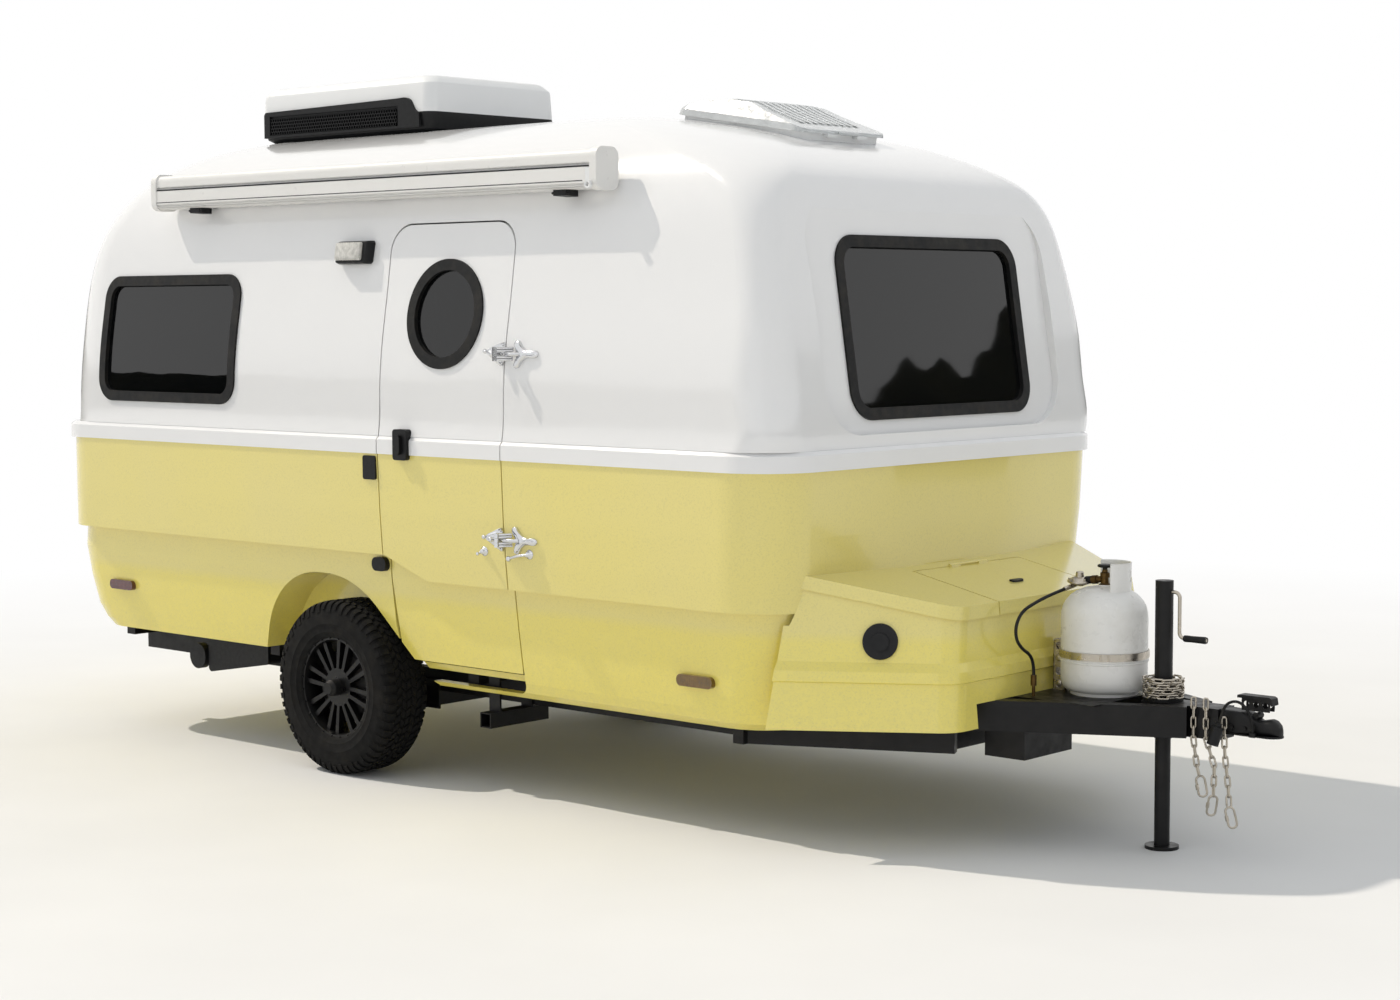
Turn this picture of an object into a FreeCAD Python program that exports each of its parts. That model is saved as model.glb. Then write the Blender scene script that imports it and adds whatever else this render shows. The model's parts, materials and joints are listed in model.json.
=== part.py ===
"""Fibreglass travel caravan on its tongue jack, as a parametric assembly.

Frame: +X forward along the tongue, +Y left, +Z up, millimetres. The origin is on the ground, on the
centreline, half way between the body's rear and the coupler's tip. Shapes are drawn with the wheel axis
at X = 0, and every sub-part's Placement moves it from there into the frame.
"""
import FreeCAD, Part
import math
import os
import re
from types import SimpleNamespace

V = FreeCAD.Vector

# Driving dimensions

SIZES = {
    # Overall
    "rear_reach": 2002.0,
    "front_reach": 3762.0,
    "overrun": 60.0,
    "fit_gap": 0.3,
    # Body shell
    "belt_bottom": 1338.0,
    "belt_top": 1410.0,
    "belt_half_width": 1060.0,
    "belt_front": 2391.0,
    "belt_rear": 1955.0,
    "belt_front_radius": 228.0,
    "belt_rear_radius": 222.0,
    "belt_bevel": 14.0,
    "roof_top": 2690.0,
    "upper_half_width": 1049.0,
    "upper_front": 2372.0,
    "upper_rear": 1960.0,
    "upper_front_radius": 200.0,
    "upper_rear_radius": 320.0,
    "waist_half_width": 1055.0,
    "waist_front": 2400.0,
    "waist_rear": 1972.0,
    "waist_radius": 234.0,
    "front_bow": 70.0,
    "bow_radius": 2600.0,
    "waist_bottom": 800.0,
    "skirt_half_width": 990.0,
    "skirt_front": 2385.0,
    "skirt_rear": 1962.0,
    "skirt_radius": 230.0,
    "sill_height": 405.0,
    "sill_change_x": 560.0,
    "step_rear_height": 931.0,
    "step_front_height": 841.0,
    "step_change_rear_x": 332.0,
    "step_change_front_x": 575.0,
    "step_bend_radius": 110.0,
    "wall": 38.0,
    "pan_bottom": 470.0,
    "pan_thickness": 25.0,
    "pan_half_width": 860.0,
    "front_notch_y": 745.0,
    "front_notch_top": 436.0,
    "front_notch_rear_x": 2120.0,
    "front_panel_lean_share": 0.1516,
    "front_panel_x": 2362.0,
    "front_panel_half_width": 735.0,
    "front_panel_bottom": 1455.0,
    "front_panel_top": 2300.0,
    "front_panel_radius": 190.0,
    # Wheel arches
    "arch_rear_bottom_x": 584.0,
    "arch_rear_top_x": 420.0,
    "arch_front_top_x": 92.0,
    "arch_front_bottom_x": 530.0,
    "arch_top": 825.0,
    "arch_bottom": 380.0,
    "arch_rear_radius": 400.0,
    "arch_front_radius": 430.0,
    "arch_inner_y": 790.0,
    "arch_wall": 8.0,
    # Door
    "door_rear_x": 320.0,
    "door_front_x": 1040.0,
    "door_top": 2250.0,
    "door_bottom": 424.0,
    "door_top_radius": 110.0,
    "door_heel_radius": 50.0,
    "door_curve_top": 640.0,
    "door_curve_x": 348.0,
    "door_curve_height": 458.0,
    "door_toe_x": 450.0,
    "door_curve_radius": 150.0,
    "door_gap": 6.0,
    "door_depth": 58.0,
    "doorway_depth": 150.0,
    "door_bevel_share": 0.32,
    "hinge_x": 1052.0,
    "hinge_y": 1096.0,
    "hinge_pin_radius": 6.0,
    "hinge_knuckle_radius": 12.0,
    "hinge_upper_z": 1745.0,
    "hinge_lower_z": 1035.0,
    "hinge_height": 96.0,
    "hinge_leaf_length": 105.0,
    "hinge_plate_thickness": 9.0,
    "hinge_running_gap": 6.0,
    "handle_x": 478.0,
    "handle_z": 1379.0,
    "handle_width": 80.0,
    "handle_height": 122.0,
    "handle_depth": 16.0,
    "handle_grip_depth": 14.0,
    "handle_grip_height": 78.0,
    "handle_grip_width": 30.0,
    "handle_radius": 14.0,
    "keeper_radius": 17.0,
    "keeper_length": 22.0,
    "keeper_door_x": 905.0,
    "keeper_body_x": 1158.0,
    "keeper_arm_x": 1084.0,
    "keeper_arm_radius": 7.0,
    "keeper_z": 972.0,
    # Windows
    "side_window_rear_x": 1570.0,
    "side_window_front_x": 636.0,
    "side_window_bottom": 1532.0,
    "side_window_top": 2042.0,
    "side_window_radius": 78.0,
    "front_window_half_width": 541.0,
    "front_window_bottom": 1527.0,
    "front_window_top": 2153.0,
    "front_window_radius": 90.0,
    "rear_window_half_width": 498.0,
    "door_window_x": 680.0,
    "door_window_z": 1893.0,
    "door_window_radius": 192.0,
    "gasket_lap": 22.0,
    "gasket_rise": 9.0,
    "gasket_tongue": 20.0,
    "glass_inset": 8.0,
    "glass_thickness": 6.0,
    # Chassis
    "rail_offset": 640.0,
    "rail_width": 50.0,
    "rail_bottom": 330.0,
    "rail_depth": 90.0,
    "rail_rear_x": 1800.0,
    "rail_front_x": 2060.0,
    "cross_depth": 50.0,
    "cross_width": 60.0,
    "cross_half_length": 850.0,
    "cross_rear_x": 1700.0,
    "cross_behind_wheel_x": 640.0,
    "cross_ahead_wheel_x": 620.0,
    "cross_front_x": 1990.0,
    "draw_beam_width": 50.0,
    "draw_beam_bottom": 420.0,
    "draw_beam_depth": 109.0,
    "draw_beam_rear_x": 2420.0,
    "draw_beam_rear_y": 625.0,
    "draw_beam_front_x": 3440.0,
    "draw_beam_front_y": 87.0,
    "lower_beam_rear_x": 1980.0,
    "lower_beam_rear_y": 800.0,
    "lower_beam_front_x": 2720.0,
    "lower_beam_front_y": 452.0,
    "tongue_head_rear_x": 3238.0,
    "tongue_head_front_x": 3545.0,
    "tongue_head_width": 110.0,
    "step_tube_width": 60.0,
    "step_tube_bore": 51.0,
    "step_tube_x": 770.0,
    "step_tube_outer_y": 900.0,
    "step_tube_length": 320.0,
    "step_tube_bottom": 262.0,
    "step_hanger_thickness": 10.0,
    "tray_rear_x": 2830.0,
    "tray_half_width": 272.0,
    "tray_thickness": 5.0,
    # Axle and wheels
    "wheel_radius": 360.0,
    "wheel_centre_y": 932.5,
    "tyre_width": 225.0,
    "tread_width": 176.0,
    "tread_groove_width": 9.0,
    "tread_groove_depth": 9.0,
    "shoulder_radius": 341.0,
    "bead_radius": 205.0,
    "rim_flange_radius": 224.0,
    "rim_width": 182.0,
    "rim_flange_thickness": 8.0,
    "rim_barrel_thickness": 7.0,
    "spoke_face_y": 76.0,
    "spoke_thickness": 26.0,
    "spoke_hub_radius": 78.0,
    "spoke_inner_gap": 7.0,
    "spoke_outer_gap": 19.0,
    "spoke_width": 20.0,
    "spoke_pairs": 8.0,
    "spoke_turn_degrees": 11.5,
    "drum_radius": 150.0,
    "drum_depth": 72.0,
    "drum_face_y": 44.0,
    "cap_radius": 34.0,
    "cap_length": 56.0,
    "spindle_radius": 19.95,
    "spindle_bore_radius": 20.0,
    "axle_tube_width": 76.0,
    "axle_tube_x": 138.0,
    "axle_tube_z": 292.0,
    "arm_thickness": 24.0,
    "arm_face_y": 802.0,
    "arm_radius": 34.0,
    "backing_radius": 138.0,
    "backing_thickness": 6.0,
    "backing_y": 812.0,
    "axle_hanger_thickness": 10.0,
    "axle_hanger_length": 220.0,
    # Coupler and jack
    "coupler_tip_z": 510.0,
    "ball_radius": 25.8,
    "ball_x": 3700.0,
    "socket_wall": 7.0,
    "coupler_width": 84.0,
    "coupler_bottom": 446.0,
    "coupler_depth": 82.0,
    "latch_top": 583.0,
    "latch_length": 128.0,
    "latch_width": 34.0,
    "latch_thickness": 11.0,
    "lead_radius": 5.0,
    "plug_radius": 21.0,
    "plug_length": 65.0,
    "gland_length": 18.0,
    "gland_width": 20.0,
    "gland_height": 22.0,
    "link_length": 48.0,
    "link_width": 23.0,
    "link_wire_radius": 3.5,
    "wrap_links": 12.0,
    "wrap_rows": 4.0,
    "wrap_pitch": 18.35,
    "wrap_bottom": 548.2,
    "wrap_radius": 64.0,
    "rear_strand_top_x": 3454.0,
    "rear_strand_top_y": 64.2,
    "rear_strand_top_z": 560.0,
    "rear_strand_rail_x": 3454.0,
    "rear_strand_rail_y": 64.2,
    "rear_strand_rail_z": 424.0,
    "rear_strand_free_x": 3470.0,
    "rear_strand_free_y": 67.0,
    "rear_strand_free_z": 330.0,
    "rear_strand_end_x": 3488.0,
    "rear_strand_end_y": 68.0,
    "rear_strand_end_z": 270.0,
    "middle_strand_top_x": 3502.0,
    "middle_strand_top_y": 64.2,
    "middle_strand_top_z": 560.0,
    "middle_strand_rail_x": 3504.0,
    "middle_strand_rail_y": 64.2,
    "middle_strand_rail_z": 424.0,
    "middle_strand_free_x": 3540.0,
    "middle_strand_free_y": 67.0,
    "middle_strand_free_z": 330.0,
    "middle_strand_end_x": 3537.0,
    "middle_strand_end_y": 68.0,
    "middle_strand_end_z": 210.0,
    "front_strand_top_x": 3566.0,
    "front_strand_top_y": 51.2,
    "front_strand_top_z": 500.0,
    "front_strand_rail_x": 3570.0,
    "front_strand_rail_y": 51.2,
    "front_strand_rail_z": 380.0,
    "front_strand_free_x": 3588.0,
    "front_strand_free_y": 55.0,
    "front_strand_free_z": 260.0,
    "front_strand_end_x": 3594.0,
    "front_strand_end_y": 56.0,
    "front_strand_end_z": 170.0,
    "jack_x": 3295.0,
    "jack_tube_radius": 32.0,
    "jack_tube_bore": 28.0,
    "jack_tube_top": 953.0,
    "jack_tube_bottom": 395.0,
    "jack_flange_radius": 70.0,
    "jack_flange_thickness": 10.0,
    "jack_leg_radius": 27.5,
    "jack_leg_top": 600.0,
    "jack_foot_radius": 60.0,
    "jack_foot_thickness": 12.0,
    "jack_cap_thickness": 6.0,
    "crank_z": 914.0,
    "crank_rod_radius": 6.5,
    "crank_reach": 62.0,
    "crank_drop": 160.0,
    "crank_bend_radius": 20.0,
    "grip_length": 108.0,
    "grip_radius": 11.0,
    # Gas cylinder
    "gas_x": 3050.0,
    "gas_radius": 155.0,
    "gas_foot_radius": 110.0,
    "gas_foot_height": 28.0,
    "gas_shoulder_height": 265.0,
    "gas_dome_height": 92.0,
    "gas_bottom_curve": 60.0,
    "gas_collar_radius": 82.0,
    "gas_collar_height": 104.0,
    "gas_collar_wall": 4.0,
    "gas_collar_opening": 110.0,
    "gas_band_height": 22.0,
    "gas_band_thickness": 3.0,
    "gas_band_z": 676.0,
    "gas_post_x": 2880.0,
    "gas_post_width": 90.0,
    "gas_post_depth": 22.0,
    "gas_post_wall": 4.0,
    "gas_post_height": 185.0,
    "gas_post_hole_radius": 16.0,
    "valve_radius": 14.0,
    "valve_height": 62.0,
    "valve_wheel_radius": 26.0,
    "valve_wheel_thickness": 12.0,
    "regulator_radius": 44.0,
    "regulator_thickness": 30.0,
    "regulator_x": 2944.0,
    "regulator_z": 926.0,
    "hose_radius": 6.0,
    "nipple_length": 52.0,
    "fitting_radius": 9.0,
    "fitting_length": 44.0,
    # Nose box
    "box_rear_x": 2310.0,
    "box_front_bottom_x": 2858.0,
    "box_front_top_x": 2806.0,
    "box_rear_half_bottom": 1005.0,
    "box_rear_half_top": 862.0,
    "box_front_half_bottom": 640.0,
    "box_front_half_top": 552.0,
    "box_corner_radius": 110.0,
    "box_bottom": 444.0,
    "box_crease_height": 612.0,
    "box_crease_step": 2.0,
    "box_band_height": 72.0,
    "box_band_bulge": 9.0,
    "box_rear_height": 969.0,
    "box_front_height": 862.0,
    "box_wall": 8.0,
    "box_floor_thickness": 10.0,
    "box_notch_half_width": 505.0,
    "lid_thickness": 14.0,
    "lid_lip": 32.0,
    "lid_overhang": 10.0,
    "lid_half_width": 332.0,
    "lid_split_gap": 6.0,
    "lid_hinge_x": 2450.0,
    "lid_barrel_radius": 5.0,
    "lid_barrel_lift": 6.0,
    "lid_knuckle_length": 58.0,
    "lid_latch_x": 2669.0,
    "lid_latch_length": 70.0,
    "lid_latch_width": 26.0,
    "lid_latch_thickness": 7.0,
    "port_x": 2625.0,
    "port_z": 752.0,
    "port_radius": 62.0,
    "port_depth": 12.0,
    "slung_box_x": 2860.0,
    "slung_box_length": 170.0,
    "slung_box_outer_y": 345.0,
    "slung_box_width": 300.0,
    "slung_box_bottom": 318.0,
    # Roof fittings
    "awning_rear_x": 1137.0,
    "awning_front_x": 1506.0,
    "awning_bottom": 2350.0,
    "awning_height": 143.0,
    "awning_outer_y": 1036.0,
    "awning_depth": 112.0,
    "awning_radius": 28.0,
    "awning_cap_length": 34.0,
    "awning_cap_rise": 8.0,
    "awning_bracket_width": 62.0,
    "awning_bracket_inset": 210.0,
    "awning_bracket_depth": 150.0,
    "awning_bracket_height": 70.0,
    "ac_rear_x": 1255.0,
    "ac_length": 1165.0,
    "ac_half_width": 380.0,
    "ac_bottom": 2640.0,
    "ac_split": 2728.0,
    "ac_flank_top": 2788.0,
    "ac_flank_x": 240.0,
    "ac_flank_fall": 100.0,
    "ac_flank_depth": 12.0,
    "ac_flank_bend": 60.0,
    "ac_chamfer": 45.0,
    "ac_grille_bottom": 2688.0,
    "ac_grille_end": 18.0,
    "ac_top": 2915.0,
    "ac_radius": 55.0,
    "ac_taper": 16.0,
    "ac_grille_height": 81.0,
    "ac_grille_bars": 26.0,
    "ac_grille_depth": 7.0,
    "vent_x": 1540.0,
    "vent_length": 630.0,
    "vent_width": 500.0,
    "vent_seat": 2624.0,
    "vent_base_depth": 70.0,
    "vent_tilt_degrees": 9.0,
    "vent_barrel_radius": 6.0,
    "vent_pin_radius": 3.0,
    "vent_lug_length": 60.0,
    "vent_base_wall": 40.0,
    "vent_lid_rise": 84.0,
    "vent_lid_margin": 18.0,
    "vent_radius": 55.0,
    "vent_rib_height": 4.0,
    # Lamps and plates
    "porch_x": 120.0,
    "porch_z": 2141.0,
    "porch_width": 205.0,
    "porch_height": 95.0,
    "porch_rise": 38.0,
    "marker_length": 172.0,
    "marker_height": 43.0,
    "marker_rise": 20.0,
    "amber_x": 1945.0,
    "amber_z": 573.0,
    "red_x": 1545.0,
    "red_z": 670.0,
    "tail_lamp_y": 700.0,
    "tail_lamp_z": 1120.0,
    "tail_lamp_width": 110.0,
    "tail_lamp_height": 180.0,
    "tail_lamp_rise": 30.0,
    "plate_width": 320.0,
    "plate_height": 165.0,
    "plate_thickness": 6.0,
    "plate_z": 760.0,
    "lock_plate_x": 276.0,
    "lock_plate_z": 1281.0,
    "lock_plate_width": 76.0,
    "lock_plate_height": 96.0,
    "lock_plate_rise": 8.0,
    "badge_x": 272.0,
    "badge_z": 888.0,
    "badge_width": 84.0,
    "badge_height": 56.0,
    "badge_rise": 5.0,
    "badge_inset": 20.0,
    # Waste tank
    "tank_rear_x": 1085.0,
    "tank_front_x": 660.0,
    "tank_outer_y": 850.0,
    "tank_inner_y": 690.0,
    "tank_bottom": 300.0,
    "tank_front_bottom": 372.0,
    "drain_radius": 45.0,
    "drain_x": 1150.0,
    "drain_z": 368.0,
    "drain_outer_y": 862.0,
    "drain_cap_radius": 57.0,
    "drain_cap_length": 34.0,
    # Interior
    "floor_thickness": 15.0,
    "floor_half_width": 772.0,
    "floor_rear_x": 1806.0,
    "floor_front_x": 2240.0,
    "rear_bench_front_x": 700.0,
    "bench_height": 380.0,
    "bench_board": 18.0,
    "bench_half_width": 760.0,
    "front_bench_rear_x": 1700.0,
    "front_bench_front_x": 2270.0,
    "rear_bench_rear_x": 1832.0,
    "cushion_thickness": 110.0,
    "cushion_radius": 30.0,
    "galley_rear_x": 520.0,
    "galley_front_x": 1480.0,
    "galley_depth": 480.0,
    "galley_outer_y": 900.0,
    "galley_height": 900.0,
    "galley_top_thickness": 28.0,
    "galley_plinth": 16.0,
}

doc = FreeCAD.newDocument("travel_caravan")
sheet = doc.addObject("Spreadsheet::Sheet", "sizes")
for row, (name, value) in enumerate(SIZES.items(), start=1):
    sheet.set("A%d" % row, name)
    sheet.set("B%d" % row, str(value))
    sheet.setAlias("B%d" % row, name)
doc.recompute()
d = SimpleNamespace(**{name: float(sheet.get(name)) for name in SIZES})

AXIS = {"X": V(1, 0, 0), "Y": V(0, 1, 0), "Z": V(0, 0, 1)}
RIGHT, LEFT = -1, 1
# Points of the cords, centre of the axle at zero
GAS_HOSE_POINTS = (
    (2925.0, -58.0, 902.0), (2913.0, -140.0, 886.0), (2905.0, -235.0, 862.0), (2901.0, -300.0, 840.0),
    (2900.0, -338.0, 797.0), (2898.0, -334.0, 743.0), (2899.0, -296.0, 705.0), (2900.0, -246.0, 679.0),
    (2900.0, -225.0, 640.0), (2900.0, -225.0, 605.0),
)
TOW_LEAD_POINTS = (
    (3676.0, -52.0, 462.0), (3676.0, -52.0, 500.0), (3656.0, -54.0, 543.0), (3622.0, -59.0, 568.0),
    (3583.0, -66.0, 556.0), (3571.0, -74.0, 520.0), (3563.0, -80.0, 486.0),
)

FRAME_SHIFT = "(rear_reach - front_reach) / 2"
sub_parts = []


# Document helpers


def in_sheet(text):
    """An expression in which every size name is read from the sheet."""
    return re.sub(r"[a-z][a-z_]*", lambda word: "sizes." + word.group(0), text)


def bound(kind, name, at=("0", "0", "0"), turn=None, **lengths):
    """A primitive whose lengths and place are bound to the sheet."""
    piece = doc.addObject(kind, name)
    if turn:
        piece.Placement.Rotation = turn
    for prop, text in lengths.items():
        piece.setExpression(prop, in_sheet(text))
    for axis, text in zip("xyz", at):
        piece.setExpression("Placement.Base." + axis, in_sheet(text))
    return piece


def block(name, length, width, height, at):
    return bound("Part::Box", name, at, Length=length, Width=width, Height=height)


def united(name, pieces):
    joined = doc.addObject("Part::MultiFuse", name)
    joined.Shapes = pieces
    return joined


def less(name, base, tool):
    cut = doc.addObject("Part::Cut", name)
    cut.Base = base
    cut.Tool = tool
    return cut


def drawn(name, shape):
    """An object whose shape is worked out below from the sheet's sizes."""
    piece = doc.addObject("Part::Feature", name)
    piece.Shape = Part.makeCompound([shape])
    return piece


def sub_part(label, piece, x="0", y="0", z="0"):
    """Name a finished sub-part and move it from the wheel axis into the frame."""
    piece.Label = label
    piece.setExpression("Placement.Base.x", in_sheet(FRAME_SHIFT + " + " + x))
    piece.setExpression("Placement.Base.y", in_sheet(y))
    piece.setExpression("Placement.Base.z", in_sheet(z))
    sub_parts.append(piece)
    return piece


# Geometry helpers


def rounded_wire(corners, lift):
    """A closed wire through corners (a, b, radius), each rounded; lift puts (a, b) into space."""
    ends = []
    for index, (a, b, radius) in enumerate(corners):
        here = V(a, b, 0)
        into = V(*corners[index - 1][:2], 0).sub(here).normalize()
        onward = V(*corners[(index + 1) % len(corners)][:2], 0).sub(here).normalize()
        half_turn = (math.pi - into.getAngle(onward)) / 2
        reach = radius * math.tan(half_turn)
        bisector = (into + onward).normalize()
        middle = here + bisector * (radius / math.cos(half_turn) - radius)
        ends.append((here + into * reach, middle, here + onward * reach, radius))
    edges = []
    for index, (start, middle, end, radius) in enumerate(ends):
        if radius > 0:
            edges.append(Part.Arc(lift(start), lift(middle), lift(end)).toShape())
        edges.append(Part.makeLine(lift(end), lift(ends[(index + 1) % len(ends)][0])))
    return Part.Wire(edges)


def lifter(axis, level):
    """The function that puts an outline's (a, b) on the plane across an axis at a level."""
    return {
        "X": lambda p: V(level, p.x, p.y),
        "Y": lambda p: V(p.x, level, p.y),
        "Z": lambda p: V(p.x, p.y, level),
    }[axis]


def prism(corners, axis, low, high):
    """An outline with rounded corners, extruded along an axis from low to high."""
    face = Part.Face(rounded_wire(corners, lifter(axis, low)))
    return face.extrude(AXIS[axis] * (high - low))


def rectangle(a_low, a_high, b_low, b_high, radius=0.0):
    return [(a_low, b_low, radius), (a_high, b_low, radius), (a_high, b_high, radius), (a_low, b_high, radius)]


def cylinder(radius, length, at, axis):
    return Part.makeCylinder(radius, length, at, axis)


def centred_box(length, width, height, centre):
    return Part.makeBox(length, width, height, centre - V(length / 2, width / 2, height / 2))


def revolved(profile, axis):
    """A closed profile of (radius, along) points, turned about an axis through the origin."""
    if axis == "Y":
        points = [V(radius, along, 0) for radius, along in profile]
    else:
        points = [V(radius, 0, along) for radius, along in profile]
    face = Part.Face(Part.makePolygon(points + [points[0]]))
    return face.revolve(V(0, 0, 0), AXIS[axis], 360)


def mirrored(shape):
    """The same shape on the other side of the caravan."""
    return shape.mirror(V(0, 0, 0), AXIS["Y"])


def both_sides(shape):
    return [shape, mirrored(shape)]


def fused(shapes):
    return shapes[0].multiFuse(shapes[1:]).removeSplitter()


# Body levels: height, half width, front, rear, front corner radius, rear corner radius

# Shares of the height from the belt to the crown, of the upper half width, front, rear and corner radii
UPPER_SHARES = (
    (0.000, 1.000, 1.000, 0.992, 0.96, 0.90),
    (0.148, 0.989, 0.995, 0.997, 0.88, 0.95),
    (0.305, 0.971, 0.984, 1.000, 0.74, 1.00),
    (0.461, 0.941, 0.969, 0.999, 0.66, 1.00),
    (0.578, 0.921, 0.955, 0.983, 0.66, 1.00),
    (0.680, 0.896, 0.939, 0.951, 0.74, 1.00),
    (0.758, 0.858, 0.917, 0.920, 1.00, 1.05),
    (0.820, 0.806, 0.872, 0.884, 1.38, 1.05),
    (0.875, 0.729, 0.802, 0.840, 1.60, 1.03),
    (0.922, 0.624, 0.700, 0.786, 1.50, 0.95),
    (0.961, 0.477, 0.570, 0.712, 1.20, 0.78),
    (0.988, 0.296, 0.435, 0.610, 0.78, 0.50),
    (1.000, 0.170, 0.330, 0.520, 0.45, 0.28),
)
# Shares of the height from the waist's foot to the belt, of its half width, front, rear, radius and bow
WAIST_SHARES = (
    (0.00, 0.967, 1.001, 1.002, 1.00, 1.00),
    (0.28, 0.981, 0.998, 0.995, 1.00, 0.79),
    (0.56, 0.991, 0.995, 0.988, 1.00, 0.42),
    (1.00, 1.000, 0.991, 0.981, 1.00, 0.05),
)
# Shares of the height from the sill to the belt, of the skirt's half width, front, rear, radius and bow
SKIRT_SHARES = (
    (0.000, 0.905, 0.962, 0.915, 0.90, 0.90),
    (0.028, 0.932, 0.976, 0.922, 0.95, 0.90),
    (0.070, 0.947, 0.986, 0.932, 1.00, 0.90),
    (0.107, 0.953, 0.989, 0.957, 1.00, 0.90),
    (0.170, 0.962, 0.992, 0.979, 1.00, 0.90),
    (0.310, 0.980, 0.998, 0.994, 1.00, 0.90),
    (0.460, 0.997, 0.999, 1.001, 1.00, 0.90),
    (0.700, 1.008, 0.988, 0.980, 1.00, 0.55),
    (1.000, 1.018, 0.978, 0.970, 1.00, 0.20),
)


# Shares of the vent hood's length from its middle, of its rise, and of its corner radius
VENT_SHARES = (
    (-0.530, 0.00, 0.00),
    (-0.530, 0.22, 0.08),
    (-0.340, 0.80, 1.20),
    (-0.130, 1.00, 1.20),
    (0.040, 1.00, 0.60),
    (0.170, 0.72, 0.40),
    (0.330, 0.46, 0.80),
    (0.520, 0.16, 0.10),
    (0.530, 0.00, 0.00),
)
# Shares of the coupler lever's length, of its rise over the channel and of its thickness as radius
LEVER_SHARES = (
    (-0.04, 0.72, 0.30),
    (0.06, 0.80, 0.30),
    (0.82, 0.86, 0.40),
    (1.00, 0.50, 0.20),
    (1.08, 0.54, 0.20),
    (0.92, 1.00, 0.60),
    (0.20, 1.16, 0.80),
    (-0.04, 0.92, 0.40),
)
# Shares of the awning case's depth, of its height and of its corner radius
AWNING_SHARES = (
    (1.00, 0.000, 0.00),
    (0.09, 0.000, 0.24),
    (0.04, 0.110, 0.10),
    (0.00, 0.200, 0.15),
    (0.00, 0.530, 0.10),
    (0.07, 0.560, 0.05),
    (0.07, 0.620, 0.05),
    (0.00, 0.650, 0.20),
    (0.00, 1.000, 0.90),
    (1.00, 1.000, 0.50),
)


def upper_levels():
    rise = d.roof_top - d.belt_top
    return [
        (
            d.belt_top + rise * up,
            d.upper_half_width * wide,
            d.upper_front * fore,
            d.upper_rear * aft,
            d.upper_front_radius * front_round,
            d.upper_rear_radius * rear_round,
            0.0,
        )
        for up, wide, fore, aft, front_round, rear_round in UPPER_SHARES
    ]


def lower_levels(shares, bottom, half_width, front, rear, radius):
    rise = d.belt_bottom - bottom
    return [
        (
            bottom + rise * up,
            half_width * wide,
            front * fore,
            rear * aft,
            radius * turn,
            radius * turn,
            d.front_bow * bow,
        )
        for up, wide, fore, aft, turn, bow in shares
    ]


def waist_levels():
    return lower_levels(
        WAIST_SHARES, d.waist_bottom, d.waist_half_width, d.waist_front, d.waist_rear, d.waist_radius
    )


def skirt_levels():
    return lower_levels(
        SKIRT_SHARES, d.sill_height, d.skirt_half_width, d.skirt_front, d.skirt_rear, d.skirt_radius
    )


def plan_wire(level, half_width, front, rear, front_radius, rear_radius, bow=0.0):
    """The body's outline in plan at one height: a rounded rectangle, its front bowed out where bow says so."""
    corners = [
        (-rear, -half_width, rear_radius),
        (front - bow, -half_width, front_radius),
        (front - bow, half_width, front_radius),
        (-rear, half_width, rear_radius),
    ]
    if bow > 0:
        flat = half_width / 3
        corners[2:2] = [(front, -flat, d.bow_radius), (front, flat, d.bow_radius)]
    return rounded_wire(corners, lifter("Z", level))


def body_loft(levels, ruled=False):
    return Part.makeLoft([plan_wire(*level) for level in levels], True, ruled)


def grown(levels, growth):
    """The same levels moved out square to the surface by growth, or in where it is negative."""
    moved = []
    for index, (level, half, front, rear, front_radius, rear_radius, bow) in enumerate(levels):
        below = levels[max(index - 1, 0)]
        above = levels[min(index + 1, len(levels) - 1)]
        rise = above[0] - below[0]
        side = math.hypot(rise, above[1] - below[1])
        fore = math.hypot(rise, above[2] - below[2])
        aft = math.hypot(rise, above[3] - below[3])
        upward = (below[1] - above[1]) / side
        moved.append((
            level + growth * upward,
            half + growth * rise / side,
            front + growth * rise / fore,
            rear + growth * rise / aft,
            max(front_radius + growth, d.wall),
            max(rear_radius + growth, d.wall),
            bow,
        ))
    return moved


def side_reach(level):
    """Half width of the body's outer surface at a height, without the belt."""
    if level >= d.belt_top:
        levels = upper_levels()
    elif level >= (d.step_rear_height + d.step_front_height) / 2:
        levels = waist_levels()
    else:
        levels = skirt_levels()
    for below, above in zip(levels, levels[1:]):
        if below[0] <= level <= above[0]:
            share = (level - below[0]) / (above[0] - below[0])
            return below[1] + share * (above[1] - below[1])
    return levels[-1][1]


UPPER_SKIN = body_loft(upper_levels())
WAIST_SKIN = body_loft(waist_levels(), ruled=True)
SKIRT_SKIN = body_loft(skirt_levels(), ruled=True)


def upper_shell_solid():
    """White upper half: a lofted skin over a thick belt, hollow, with a flat raked front panel."""
    band = [
        (d.belt_bottom, 0),
        (d.belt_top - d.belt_bevel, 0),
        (d.belt_top, d.belt_bevel),
    ]
    belt = body_loft([
        (
            level,
            d.belt_half_width - inset,
            d.belt_front - inset,
            d.belt_rear - inset,
            d.belt_front_radius,
            d.belt_rear_radius,
        )
        for level, inset in band
    ], ruled=True)
    inner_levels = grown(upper_levels(), -d.wall)
    foot = inner_levels[0]
    inner_levels[0] = (d.belt_top,) + foot[1:]
    room = body_loft(inner_levels)
    foot_room = body_loft([(d.belt_bottom - d.overrun,) + foot[1:], (d.belt_top,) + foot[1:]], ruled=True)
    shell = UPPER_SKIN.fuse(belt)
    shell = shell.cut(front_panel_recess())
    return shell.cut(room).cut(foot_room)


def front_plane_x(level):
    """Where the flat raked front panel lies at a height."""
    return d.front_panel_x - d.front_panel_lean_share * (level - d.belt_top)


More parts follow.
